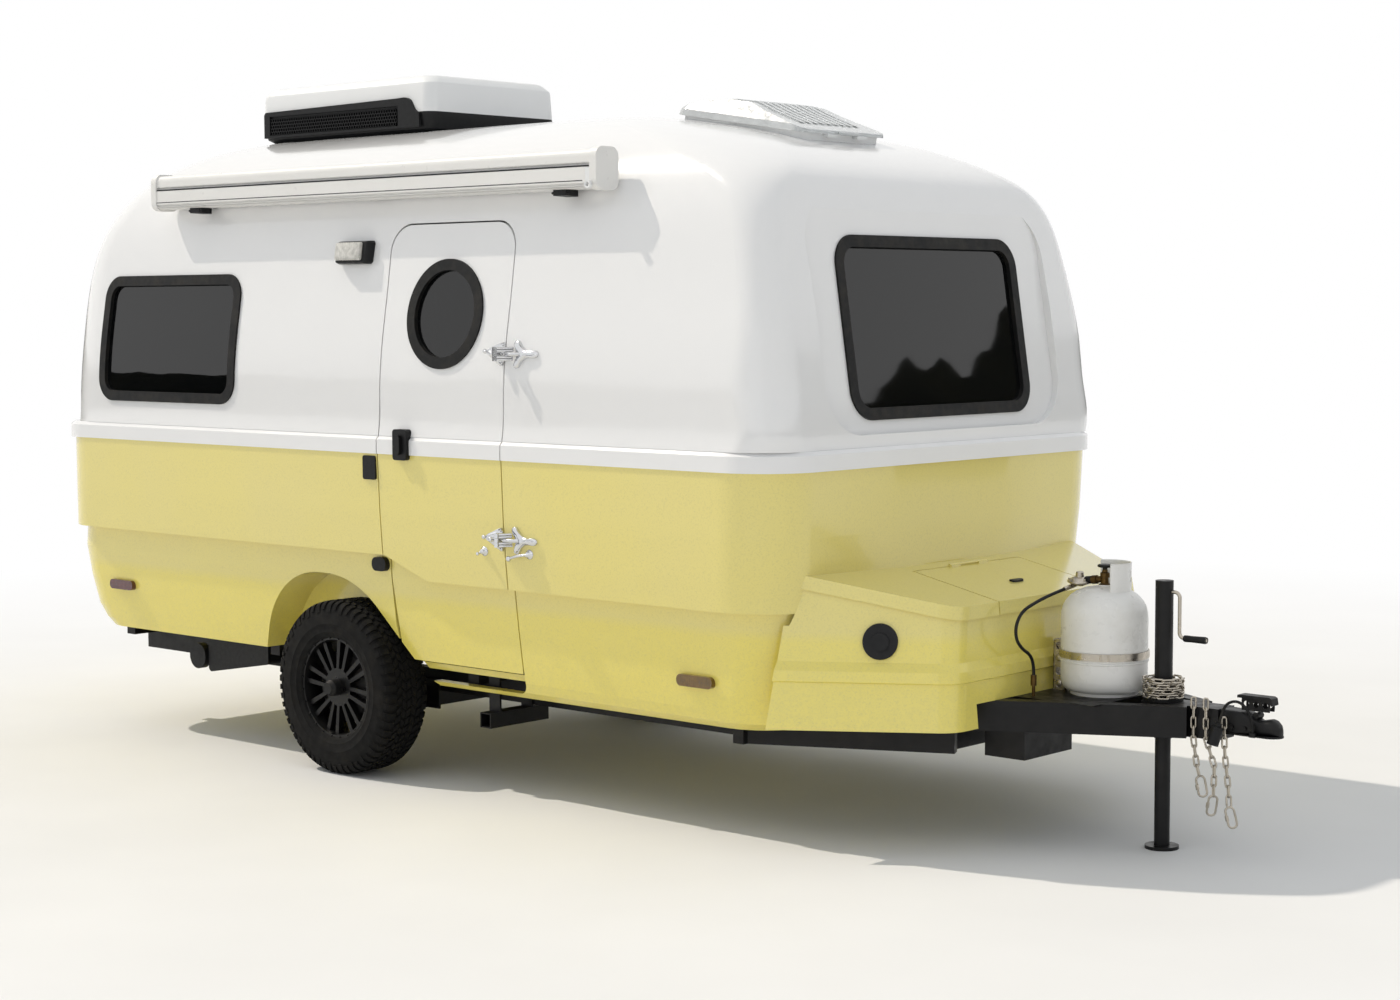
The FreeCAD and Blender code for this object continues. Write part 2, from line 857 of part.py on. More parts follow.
def front_panel_recess():
    """What is cut off the front so that a flat panel lies between the rounded pillars."""
    outline = rectangle(
        -d.front_panel_half_width,
        d.front_panel_half_width,
        d.front_panel_bottom,
        d.front_panel_top,
        d.front_panel_radius,
    )
    block_ahead = prism(outline, "X", d.upper_front / 2, d.upper_front + d.overrun)
    low, high = d.front_panel_bottom - d.overrun, d.front_panel_top + d.overrun
    behind = Part.makePolygon([
        V(0, -d.belt_half_width, low),
        V(front_plane_x(low), -d.belt_half_width, low),
        V(front_plane_x(high), -d.belt_half_width, high),
        V(0, -d.belt_half_width, high),
        V(0, -d.belt_half_width, low),
    ])
    return block_ahead.cut(Part.Face(behind).extrude(AXIS["Y"] * (d.belt_half_width * 2)))


def arch_outline(growth=0.0):
    """The wheel arch's outline seen from the side."""
    return [
        (-d.arch_rear_bottom_x - growth, d.arch_bottom, 0.0),
        (-d.arch_rear_top_x - growth, d.arch_top + growth, d.arch_rear_radius),
        (d.arch_front_top_x + growth / 2, d.arch_top + growth, d.arch_front_radius),
        (d.arch_front_bottom_x + growth, d.arch_bottom, 0.0),
    ]


def lower_body_solids():
    """Yellow lower half: stepped skirt wall, floor pan, and a wheel box on each side."""
    above_step = prism(
        [
            (-d.waist_rear - d.overrun, d.step_rear_height, 0.0),
            (d.step_change_rear_x, d.step_rear_height, d.step_bend_radius),
            (d.step_change_front_x, d.step_front_height, d.step_bend_radius),
            (d.waist_front + d.overrun, d.step_front_height, 0.0),
            (d.waist_front + d.overrun, d.belt_bottom + d.overrun, 0.0),
            (-d.waist_rear - d.overrun, d.belt_bottom + d.overrun, 0.0),
        ],
        "Y",
        -d.belt_half_width - d.overrun,
        d.belt_half_width + d.overrun,
    )
    inner_levels = grown(skirt_levels(), -d.wall)
    foot = inner_levels[0]
    room = body_loft([(d.sill_height - d.overrun,) + foot[1:]] + inner_levels, ruled=True)
    wall = SKIRT_SKIN.fuse(WAIST_SKIN.common(above_step)).cut(room)
    reach = d.belt_half_width + d.overrun
    rear_sill = Part.makeBox(
        d.waist_rear + d.overrun, reach * 2, d.pan_bottom, V(-d.waist_rear - d.overrun, -reach, 0),
    )
    front_notch = Part.makeBox(
        d.waist_front, d.front_notch_y * 2, d.front_notch_top, V(d.front_notch_rear_x, -d.front_notch_y, 0)
    )
    pan = room.common(Part.makeBox(
        d.waist_front * 2,
        d.waist_front * 2,
        d.pan_thickness,
        V(-d.waist_front, -d.waist_front, d.pan_bottom),
    ))
    wall = wall.cut(rear_sill).cut(front_notch)
    boxes = []
    for side in (RIGHT, LEFT):
        inner = side * d.arch_inner_y
        void = prism(arch_outline(), "Y", inner, side * reach)
        liner = prism(arch_outline(d.arch_wall), "Y", inner - side * d.arch_wall, side * reach)
        below = Part.makeBox(
            d.waist_front * 2, d.waist_front * 2, d.pan_bottom, V(-d.waist_front, -d.waist_front, 0)
        )
        wall = wall.cut(void)
        pan = pan.cut(liner)
        boxes.append(liner.common(room).cut(void).cut(below))
    return wall, pan, boxes


def door_outline(inset):
    """The door's outline seen from the side, made smaller all round by inset."""
    return [
        (d.door_rear_x + inset, d.door_top - inset, d.door_top_radius),
        (d.door_front_x - inset, d.door_top - inset, d.door_top_radius),
        (d.door_front_x - inset, d.door_bottom + inset, d.door_heel_radius),
        (d.door_toe_x + inset / 2, d.door_bottom + inset, d.door_curve_radius / 2),
        (d.door_curve_x + inset, d.door_curve_height + inset / 2, d.door_curve_radius / 3),
        (d.door_rear_x + inset, d.door_curve_top + inset / 2, d.door_curve_radius),
    ]


def door_block(inset, depth):
    """The part of the wall that is the door, or with no inset its opening, to a depth from the surface.

    The latch side slants inwards, so that the door's inner edge clears the jamb as it swings.
    """
    panel = prism(door_outline(inset), "Y", -d.belt_half_width - d.overrun, -d.pan_half_width)
    slant = d.door_bevel_share
    heights = [d.door_bottom - d.overrun, d.step_front_height, d.belt_bottom, d.belt_top]
    heights += [level[0] for level in upper_levels() if d.belt_top < level[0] < d.door_top + d.overrun * 2]
    sections = []
    for height in heights:
        surface = -side_reach(height)
        rear = d.door_rear_x + inset
        outside = surface - d.overrun * 2
        inside = surface + depth
        shift = slant if inset > 0 else 0.0
        points = [
            V(rear + shift * (outside - surface), outside, height),
            V(d.door_front_x, outside, height),
            V(d.door_front_x, inside, height),
            V(rear + shift * (inside - surface), inside, height),
        ]
        sections.append(Part.makePolygon(points + [points[0]]))
    return panel.common(Part.makeLoft(sections, True, True))


# Windows


def side_window_outline(growth):
    return rectangle(
        -d.side_window_rear_x - growth,
        -d.side_window_front_x + growth,
        d.side_window_bottom - growth,
        d.side_window_top + growth,
        d.side_window_radius + growth,
    )


def end_window_outline(half_width, bottom, top, radius, growth):
    return rectangle(-half_width - growth, half_width + growth, bottom - growth, top + growth, radius + growth)


def front_window_outline(growth):
    return end_window_outline(
        d.front_window_half_width, d.front_window_bottom, d.front_window_top, d.front_window_radius, growth
    )


def rear_window_outline(growth):
    return end_window_outline(
        d.rear_window_half_width, d.side_window_bottom, d.side_window_top, d.side_window_radius, growth
    )


def side_prism(outline, side):
    inner = side * d.arch_inner_y
    return prism(outline, "Y", inner, side * (d.belt_half_width + d.overrun))


def round_prism(radius):
    centre = V(d.door_window_x, -d.belt_half_width - d.overrun, d.door_window_z)
    return cylinder(radius, d.belt_half_width + d.overrun - d.arch_inner_y, centre, AXIS["Y"])


PROUD_SKIN = body_loft(grown(upper_levels(), d.gasket_rise))
GLASS_OUTER = body_loft(grown(upper_levels(), -d.glass_inset))
GLASS_INNER = body_loft(grown(upper_levels(), -d.glass_inset - d.glass_thickness))
TONGUE_SKIN = body_loft(grown(upper_levels(), -d.gasket_tongue - d.glass_inset))


def skin_gasket(hole, lap, sight):
    """A rubber ring that laps the wall outside and lines the hole, following the wall's curve."""
    lapped = PROUD_SKIN.common(lap).cut(UPPER_SKIN)
    tongue = PROUD_SKIN.common(hole).cut(TONGUE_SKIN)
    ring = lapped.fuse(tongue).cut(sight)
    return ring.cut(GLASS_OUTER.common(hole.cut(sight)).cut(GLASS_INNER).common(glass_edge(hole, sight)))


def glass_edge(hole, sight):
    """The groove in the ring that holds the edge of the glass, here the whole ring's width."""
    return hole.cut(sight)


def skin_glass(hole):
    return GLASS_OUTER.common(hole).cut(GLASS_INNER)


def front_slab(out, back):
    """A slab along the raked front panel, from out in front of it to back behind it."""
    low, high = d.front_panel_bottom, d.front_panel_top
    corners = [
        V(front_plane_x(low) - back, -d.belt_half_width, low),
        V(front_plane_x(low) + out, -d.belt_half_width, low),
        V(front_plane_x(high) + out, -d.belt_half_width, high),
        V(front_plane_x(high) - back, -d.belt_half_width, high),
    ]
    face = Part.Face(Part.makePolygon(corners + [corners[0]]))
    return face.extrude(AXIS["Y"] * (d.belt_half_width * 2))


def front_prism(outline):
    return prism(outline, "X", d.upper_front / 2, d.upper_front + d.overrun)


def rear_prism(outline):
    return prism(outline, "X", -d.upper_rear - d.overrun, -d.upper_rear + d.overrun * 2)


def build_body():
    """Shells, door, windows and their rubber rings."""
    upper = upper_shell_solid()
    lower, pan, wheel_boxes = lower_body_solids()
    opening = door_block(0.0, d.door_depth)
    leaf = door_block(d.door_gap, d.door_depth)
    doorway = door_block(0.0, d.doorway_depth)
    right_hole = side_prism(side_window_outline(0.0), RIGHT)
    left_hole = side_prism(side_window_outline(0.0), LEFT)
    front_hole = front_prism(front_window_outline(0.0))
    rear_hole = rear_prism(rear_window_outline(0.0))
    round_hole = round_prism(d.door_window_radius)
    door_upper = upper.common(leaf).cut(round_hole)
    door_lower = lower.common(leaf)
    upper = upper.cut(opening)
    for hole in (right_hole, left_hole, front_hole, rear_hole):
        upper = upper.cut(hole)
    sub_part("upper_shell", drawn("upper_shell", upper))
    sub_part("lower_shell", drawn("lower_shell", lower.cut(doorway)))
    sub_part("floor_pan", drawn("floor_pan", pan.cut(opening)))
    sub_part("wheel_boxes", drawn("wheel_boxes", Part.makeCompound(wheel_boxes)))
    sub_part("door_upper", drawn("door_upper", door_upper))
    sub_part("door_lower", drawn("door_lower", door_lower))
    lap = d.gasket_lap
    for name, hole, lap_prism, sight in (
        (
            "right_window",
            right_hole,
            side_prism(side_window_outline(lap), RIGHT),
            side_prism(side_window_outline(-lap), RIGHT),
        ),
        (
            "left_window",
            left_hole,
            side_prism(side_window_outline(lap), LEFT),
            side_prism(side_window_outline(-lap), LEFT),
        ),
        (
            "rear_window",
            rear_hole,
            rear_prism(rear_window_outline(lap)),
            rear_prism(rear_window_outline(-lap)),
        ),
        (
            "door_window",
            round_hole,
            round_prism(d.door_window_radius + lap),
            round_prism(d.door_window_radius - lap),
        ),
    ):
        sub_part(name + "_gasket", drawn(name + "_gasket", skin_gasket(hole, lap_prism, sight)))
        sub_part(name + "_glass", drawn(name + "_glass", skin_glass(hole)))
    lap_hole = front_prism(front_window_outline(lap))
    sight = front_prism(front_window_outline(-lap))
    ring = lap_hole.common(front_slab(d.gasket_rise, 0.0))
    ring = ring.fuse(front_hole.common(front_slab(d.gasket_rise, d.gasket_tongue + d.glass_inset))).cut(sight)
    pane = front_hole.common(front_slab(-d.glass_inset, d.glass_inset + d.glass_thickness))
    sub_part("front_window_gasket", drawn("front_window_gasket", ring.cut(pane)))
    sub_part("front_window_glass", drawn("front_window_glass", pane))


# Door furniture


def hinge_half(height, sign, z_low, z_high):
    """One half of a hinge: plate on the wall, arm out to the pin, and its knuckles."""
    surface = side_reach(height)
    low = height - d.hinge_height / 2
    start = d.hinge_x - sign * d.hinge_leaf_length
    edge = d.hinge_x - sign * d.hinge_knuckle_radius
    near, far = sorted((start, edge))
    plate = Part.makeBox(
        far - near,
        d.hinge_plate_thickness + d.overrun,
        d.hinge_height,
        V(near, -surface - d.hinge_plate_thickness, low),
    )
    arm_start = d.hinge_x - sign * d.hinge_knuckle_radius * 3
    arm_low, arm_high = sorted((arm_start, d.hinge_x))
    arm = Part.makeBox(
        arm_high - arm_low,
        d.hinge_y - surface,
        z_high - z_low,
        V(arm_low, -d.hinge_y, z_low),
    )
    knuckle = cylinder(d.hinge_knuckle_radius, z_high - z_low, V(d.hinge_x, -d.hinge_y, z_low), AXIS["Z"])
    half = plate.fuse([arm, knuckle])
    bore = cylinder(
        d.hinge_pin_radius + d.fit_gap, d.hinge_height, V(d.hinge_x, -d.hinge_y, low), AXIS["Z"]
    )
    return half, bore


def build_hinges():
    """Two chrome hinges: the body halves carry the pins and the door halves turn on them."""
    body_halves = []
    door_halves = []
    for height in (d.hinge_upper_z, d.hinge_lower_z):
        low = height - d.hinge_height / 2
        third = d.hinge_height / 3
        leaf, bore = hinge_half(height, 1, low + third + d.fit_gap, low + third * 2 - d.fit_gap)
        door_halves.append(leaf.cut(bore))
        lower_ear, unused = hinge_half(height, -1, low, low + third)
        upper_ear, unused = hinge_half(height, -1, low + third * 2, low + d.hinge_height)
        pin = cylinder(d.hinge_pin_radius, d.hinge_height, V(d.hinge_x, -d.hinge_y, low), AXIS["Z"])
        body_halves.append(lower_ear.fuse([upper_ear, pin]))
    wall_cut = UPPER_SKIN.fuse(WAIST_SKIN)
    keeper_y = -side_reach(d.keeper_z)
    door_keeper = cylinder(
        d.keeper_radius, d.keeper_length + d.wall / 2,
        V(d.keeper_door_x, keeper_y - d.keeper_length, d.keeper_z), AXIS["Y"],
    )
    body_keeper = cylinder(
        d.keeper_radius, d.keeper_length + d.wall / 2,
        V(d.keeper_body_x, keeper_y - d.keeper_length, d.keeper_z),
        AXIS["Y"],
    )
    body_keeper = body_keeper.fuse(cylinder(
        d.keeper_arm_radius, d.keeper_body_x - d.keeper_arm_x,
        V(d.keeper_arm_x, keeper_y - d.keeper_length / 2, d.keeper_z), AXIS["X"],
    ))
    door_set = Part.makeCompound([half.cut(wall_cut) for half in door_halves] + [door_keeper.cut(wall_cut)])
    body_set = Part.makeCompound([half.cut(wall_cut) for half in body_halves] + [body_keeper.cut(wall_cut)])
    sub_part("door_hinge_leaves", drawn("door_hinge_leaves", door_set))
    sub_part("door_hinge_plates", drawn("door_hinge_plates", body_set))


def build_handle():
    """Black paddle handle over the belt at the door's rear edge."""
    half_width, half_height = d.handle_width / 2, d.handle_height / 2
    base = prism(
        rectangle(
            d.handle_x - half_width, d.handle_x + half_width,
            d.handle_z - half_height, d.handle_z + half_height, d.handle_radius,
        ),
        "Y", -d.belt_half_width - d.handle_depth, -d.upper_half_width + d.wall / 2,
    )
    half_width, half_height = d.handle_grip_width / 2, d.handle_grip_height / 2
    grip = prism(
        rectangle(
            d.handle_x - half_width, d.handle_x + half_width,
            d.handle_z - half_height, d.handle_z + half_height, d.handle_radius,
        ),
        "Y", -d.belt_half_width - d.handle_depth - d.handle_grip_depth, -d.belt_half_width,
    )
    door = next(part for part in sub_parts if part.Label == "door_upper").Shape.copy()
    door.Placement = FreeCAD.Placement()
    door_foot = next(part for part in sub_parts if part.Label == "door_lower").Shape.copy()
    door_foot.Placement = FreeCAD.Placement()
    handle = base.fuse(grip).cut(door).cut(door_foot)
    solids = sorted(handle.Solids, key=lambda solid: solid.BoundBox.YMin)
    sub_part("door_handle", drawn("door_handle", solids[0]))


# Chassis


def beam(rear_x, rear_y, front_x, front_y, width, bottom, depth, side):
    """A straight beam between two points in plan, given at the middle of its outer face."""
    along = V(front_x - rear_x, front_y - rear_y, 0).normalize()
    inward = V(along.y, -along.x, 0)
    start = V(rear_x, rear_y, bottom)
    end = V(front_x, front_y, bottom)
    corners = [start, end, end + inward * width, start + inward * width]
    solid = Part.Face(Part.makePolygon(corners + [corners[0]])).extrude(AXIS["Z"] * depth)
    return solid if side == LEFT else mirrored(solid)


def stacked(shapes):
    """Solids that meet without overlapping: each one is cut back by those before it."""
    placed = []
    for shape in shapes:
        for other in placed:
            if shape.BoundBox.intersect(other.BoundBox):
                shape = shape.cut(other)
        placed += shape.Solids
    return placed


def build_chassis():
    """Ladder frame with cross members, lower A-frame and the draw beams on top of it."""
    rails = [
        block(
            "rail_" + name,
            "rail_rear_x + rail_front_x",
            "rail_width",
            "rail_depth",
            ("-rail_rear_x", place, "rail_bottom"),
        )
        for name, place in (("right", "-rail_offset - rail_width / 2"), ("left", "rail_offset - rail_width / 2"))
    ]
    crosses = [
        block(
            "cross_" + name,
            "cross_width",
            "cross_half_length * 2",
            "cross_depth",
            (place, "-cross_half_length", "rail_bottom + rail_depth"),
        )
        for name, place in (
            ("rear", "-cross_rear_x"),
            ("behind_wheels", "-cross_behind_wheel_x"),
            ("ahead_of_wheels", "cross_ahead_wheel_x"),
            ("front", "cross_front_x"),
        )
    ]
    doc.recompute()
    front_bar = Part.makeBox(
        d.draw_beam_width,
        d.lower_beam_rear_y * 2,
        d.rail_depth,
        V(d.lower_beam_rear_x, -d.lower_beam_rear_y, d.rail_bottom),
    )
    link_bar = Part.makeBox(
        d.draw_beam_width,
        d.lower_beam_front_y * 2 - d.draw_beam_width,
        d.rail_depth,
        V(
            d.lower_beam_front_x - d.draw_beam_width * 2,
            d.draw_beam_width / 2 - d.lower_beam_front_y,
            d.rail_bottom,
        ),
    )
    head = Part.makeBox(
        d.tongue_head_front_x - d.tongue_head_rear_x,
        d.tongue_head_width,
        d.draw_beam_depth,
        V(d.tongue_head_rear_x, -d.tongue_head_width / 2, d.draw_beam_bottom),
    )
    head = head.cut(cylinder(
        d.jack_tube_radius, d.draw_beam_depth, V(d.jack_x, 0, d.draw_beam_bottom), AXIS["Z"]
    ))
    beams = []
    for side in (RIGHT, LEFT):
        beams.append(beam(
            d.lower_beam_rear_x, d.lower_beam_rear_y, d.lower_beam_front_x, d.lower_beam_front_y,
            d.draw_beam_width, d.rail_bottom, d.rail_depth, side,
        ))
        beams.append(beam(
            d.draw_beam_rear_x, d.draw_beam_rear_y, d.draw_beam_front_x, d.draw_beam_front_y,
            d.draw_beam_width, d.draw_beam_bottom, d.draw_beam_depth, side,
        ))
    tray = Part.makeBox(
        d.gas_x + d.gas_foot_radius + d.gas_post_depth - d.tray_rear_x,
        d.tray_half_width * 2,
        d.tray_thickness,
        V(
            d.tray_rear_x,
            -d.tray_half_width,
            d.draw_beam_bottom + d.draw_beam_depth - d.tray_thickness,
        ),
    )
    hanger_y = d.rail_offset + d.rail_width / 2
    hanger_bottom = d.axle_tube_z - d.axle_tube_width / 2
    hangers = [
        Part.makeBox(
            d.axle_hanger_length,
            d.axle_hanger_thickness,
            d.rail_bottom + d.rail_depth / 2 - hanger_bottom,
            V(
                d.axle_tube_x - d.axle_hanger_length / 2,
                start,
                hanger_bottom,
            ),
        ).cut(Part.makeBox(
            d.axle_tube_width,
            d.axle_hanger_thickness,
            d.axle_tube_width,
            V(d.axle_tube_x - d.axle_tube_width / 2, start, hanger_bottom),
        ))
        for start in (-hanger_y - d.axle_hanger_thickness, hanger_y)
    ]
    ladder = [piece.Shape for piece in rails + crosses]
    frame = stacked(ladder + [front_bar, link_bar, head] + beams + [tray, slung_box()] + hangers)
    sub_part("chassis_frame", drawn("chassis_frame", Part.makeCompound(frame)))
    sub_part("step_receiver", drawn("step_receiver", step_receiver()))


def step_receiver():
    """Square tube under the door sill that takes a plug-in step."""
    half = d.step_tube_width / 2
    outer = Part.makeBox(
        d.step_tube_width, d.step_tube_length, d.step_tube_width,
        V(d.step_tube_x - half, -d.step_tube_outer_y, d.step_tube_bottom),
    )
    margin = (d.step_tube_width - d.step_tube_bore) / 2
    bore = Part.makeBox(
        d.step_tube_bore, d.step_tube_length + d.overrun * 2, d.step_tube_bore,
        V(d.step_tube_x - half + margin, -d.step_tube_outer_y - d.overrun, d.step_tube_bottom + margin),
    )
    hangers = [
        Part.makeBox(
            d.step_tube_width, d.step_hanger_thickness,
            d.pan_bottom - d.step_tube_bottom - d.step_tube_width,
            V(d.step_tube_x - half, y, d.step_tube_bottom + d.step_tube_width),
        )
        for y in (-d.cross_half_length, -d.rail_offset - d.rail_width / 2 - d.step_hanger_thickness)
    ]
    return outer.fuse(hangers).cut(bore)


def slung_box():
    """Plain black box hung under the draw beams behind the gas tray."""
    return Part.makeBox(
        d.slung_box_length, d.slung_box_width, d.draw_beam_bottom - d.slung_box_bottom,
        V(d.slung_box_x - d.slung_box_length / 2, -d.slung_box_outer_y, d.slung_box_bottom),
    )


# Axle and wheels


def build_axle():
    """Torsion axle: square tube, trailing arms, spindles and brake backing plates."""
    half_tube = d.axle_tube_width / 2
    tube = centred_box(
        d.axle_tube_width,
        (d.arm_face_y - d.arm_thickness) * 2,
        d.axle_tube_width,
        V(d.axle_tube_x, 0, d.axle_tube_z),
    )
    pieces = [tube]
    spindle_end = d.wheel_centre_y + d.drum_face_y - d.fit_gap
    for side in (RIGHT, LEFT):
        y_axis = AXIS["Y"] * side
        inner_face = (d.arm_face_y - d.arm_thickness) * side
        ends = [V(d.axle_tube_x, inner_face, d.axle_tube_z), V(0, inner_face, d.wheel_radius)]
        slope = V(-d.axle_tube_x, 0, d.wheel_radius - d.axle_tube_z).normalize()
        across = V(-slope.z, 0, slope.x) * d.arm_radius
        web = Part.makePolygon([
            ends[0] + across, ends[1] + across, ends[1] - across, ends[0] - across, ends[0] + across,
        ])
        pieces.append(Part.Face(web).extrude(y_axis * d.arm_thickness))
        pieces += [cylinder(radius, d.arm_thickness, end, y_axis) for end, radius in zip(
            ends, (half_tube * math.sqrt(2), d.arm_radius)
        )]
        pieces.append(cylinder(
            d.spindle_radius, spindle_end - d.arm_face_y + d.arm_thickness / 2,
            V(0, side * (d.arm_face_y - d.arm_thickness / 2), d.wheel_radius), y_axis,
        ))
        pieces.append(cylinder(
            d.backing_radius, d.backing_thickness, V(0, side * d.backing_y, d.wheel_radius), y_axis,
        ))
        pieces.append(cylinder(
            d.arm_radius, d.backing_y - d.arm_face_y, V(0, side * d.arm_face_y, d.wheel_radius), y_axis,
        ))
    sub_part("axle", drawn("axle", fused(pieces)))


def tyre_profile():
    """Half section of the tyre, radius against distance from its middle plane, outer side first."""
    half = d.tyre_width / 2
    tread = d.tread_width / 2
    shoulder = (d.wheel_radius + d.shoulder_radius) / 2
    groove = d.tread_groove_width / 2
    base = d.wheel_radius - d.tread_groove_depth
    rim_half = d.rim_width / 2
    waist = (d.bead_radius + d.shoulder_radius) / 2
    side = [
        (d.bead_radius, rim_half - d.rim_flange_thickness),
        (d.rim_flange_radius, rim_half - d.rim_flange_thickness),
        (waist - (d.shoulder_radius - d.bead_radius) / 5, half * 0.97),
        (waist + (d.shoulder_radius - d.bead_radius) / 8, half),
        (d.shoulder_radius, half * 0.955),
        (shoulder + (d.wheel_radius - shoulder) / 2, (half + tread) / 2),
        (d.wheel_radius, tread),
    ]
    grooves = []
    for middle in (tread * 0.56, 0.0, -tread * 0.56):
        grooves += [
            (d.wheel_radius, middle + groove),
            (base, middle + groove),
            (base, middle - groove),
            (d.wheel_radius, middle - groove),
        ]
    return side + grooves + [(radius, -along) for radius, along in reversed(side)]


def rim_profile():
    """Section of the rim barrel with its two flanges and drop centre."""
    half = d.rim_width / 2
    inner = d.bead_radius - d.rim_barrel_thickness
    seat = half - d.rim_flange_thickness
    drop = (d.rim_flange_radius - d.bead_radius) / 2
    outer_line = [
        (inner, half),
        (d.rim_flange_radius, half),
        (d.rim_flange_radius, seat + d.fit_gap),
        (d.bead_radius - d.fit_gap, seat + d.fit_gap),
        (d.bead_radius - d.fit_gap, -seat - d.fit_gap),
        (d.rim_flange_radius, -seat - d.fit_gap),
        (d.rim_flange_radius, -half),
        (inner, -half),
        (inner - drop, -half + drop * 2),
        (inner - drop, half - drop * 5),
    ]
    return outer_line


def wheel_body(name, profile):
    """A PartDesign body that turns a section about the wheel's axis."""
    body = doc.addObject("PartDesign::Body", name)
    plane = next(item for item in body.Origin.OriginFeatures if item.Role == "XY_Plane")
    sketch = body.newObject("Sketcher::SketchObject", name + "_section")
    sketch.AttachmentSupport = [(plane, "")]
    sketch.MapMode = "FlatFace"
    points = [V(radius, along, 0) for radius, along in profile]
    for start, end in zip(points, points[1:] + points[:1]):
        sketch.addGeometry(Part.LineSegment(start, end))
    turned = body.newObject("PartDesign::Revolution", name + "_turned")
    turned.Profile = sketch
    turned.ReferenceAxis = (sketch, ["V_Axis"])
    turned.Angle = 360
    doc.recompute()
    return body


def spoke_outline(side):
    """One bar of a split spoke in the wheel's plane, from the hub out to the barrel."""
    inner_near = d.spoke_inner_gap
    outer_near = d.spoke_outer_gap
    inner_far = inner_near + d.spoke_width * 0.7
    outer_far = outer_near + d.spoke_width
    root = d.spoke_hub_radius - d.spoke_width
    reach = d.bead_radius - d.rim_barrel_thickness / 2
    return [
        V(side * inner_near, root, 0),
        V(side * outer_near, reach, 0),
        V(side * outer_far, reach - d.rim_barrel_thickness, 0),
        V(side * inner_far, root, 0),
    ]


def add_spokes(body, name):
    """Hub disc and one split spoke, repeated round the wheel."""
    plane = next(item for item in body.Origin.OriginFeatures if item.Role == "XZ_Plane")
    back = d.spoke_face_y - d.spoke_thickness
    disc_sketch = body.newObject("Sketcher::SketchObject", name + "_disc_outline")
    disc_sketch.AttachmentSupport = [(plane, "")]
    disc_sketch.MapMode = "FlatFace"
    disc_sketch.AttachmentOffset = FreeCAD.Placement(V(0, 0, -d.spoke_face_y), FreeCAD.Rotation())
    disc_sketch.addGeometry(Part.Circle(V(0, 0, 0), V(0, 0, 1), d.spoke_hub_radius))
    disc_sketch.addGeometry(Part.Circle(V(0, 0, 0), V(0, 0, 1), d.cap_radius + d.fit_gap))
    disc = body.newObject("PartDesign::Pad", name + "_disc")
    disc.Profile = disc_sketch
    disc.setExpression("Length", in_sheet("spoke_thickness"))
    doc.recompute()
    spoke_sketch = body.newObject("Sketcher::SketchObject", name + "_spoke_outline")
    spoke_sketch.AttachmentSupport = [(plane, "")]
    spoke_sketch.MapMode = "FlatFace"
    spoke_sketch.AttachmentOffset = FreeCAD.Placement(V(0, 0, -d.spoke_face_y), FreeCAD.Rotation())
    turn = FreeCAD.Rotation(AXIS["Z"], d.spoke_turn_degrees)
    for side in (RIGHT, LEFT):
        points = [turn.multVec(point) for point in spoke_outline(side)]
        for start, end in zip(points, points[1:] + points[:1]):
            spoke_sketch.addGeometry(Part.LineSegment(start, end))
    spoke = body.newObject("PartDesign::Pad", name + "_spoke")
    spoke.Profile = spoke_sketch
    spoke.setExpression("Length", in_sheet("spoke_thickness"))
    doc.recompute()
    pattern = body.newObject("PartDesign::PolarPattern", name + "_spokes")
    pattern.Originals = [spoke]
    pattern.Axis = (disc_sketch, ["N_Axis"])
    pattern.Angle = 360
    pattern.setExpression("Occurrences", in_sheet("spoke_pairs"))
    body.Tip = pattern
    doc.recompute()
    return back


def build_wheels():
    """Tyre, split-spoke rim and brake drum with its cap, on each side."""
    for side, name in ((RIGHT, "right"), (LEFT, "left")):
        tyre = wheel_body("tyre_" + name, tyre_profile())
        rim = wheel_body("rim_" + name, rim_profile())
        add_spokes(rim, "rim_" + name)
        drum_back = d.drum_face_y - d.drum_depth
        disc_back = d.spoke_face_y - d.spoke_thickness
        hub = revolved(
            [
                (d.spindle_bore_radius, drum_back),
                (d.drum_radius, drum_back),
                (d.drum_radius, d.drum_face_y - d.arm_radius / 4),
                (d.drum_radius - d.arm_radius / 4, d.drum_face_y),
                (d.spoke_hub_radius, d.drum_face_y),
                (d.spoke_hub_radius, disc_back),
                (d.cap_radius, disc_back),
                (d.cap_radius, d.spoke_face_y + d.cap_length * 0.7),
                (d.cap_radius * 0.7, d.spoke_face_y + d.cap_length),
                (0.0, d.spoke_face_y + d.cap_length),
                (0.0, d.drum_face_y),
                (d.spindle_bore_radius, d.drum_face_y),
            ],
            "Y",
        )
        hub_piece = drawn("hub_" + name, hub)
        for piece in (tyre, rim, hub_piece):
            if side == RIGHT:
                piece.Placement.Rotation = FreeCAD.Rotation(AXIS["Z"], 180)
        place = ("-" if side == RIGHT else "") + "wheel_centre_y"
        sub_part("tyre_" + name, tyre, y=place, z="wheel_radius")
        sub_part("rim_" + name, rim, y=place, z="wheel_radius")
        sub_part("hub_" + name, hub_piece, y=place, z="wheel_radius")


# Coupler and jack


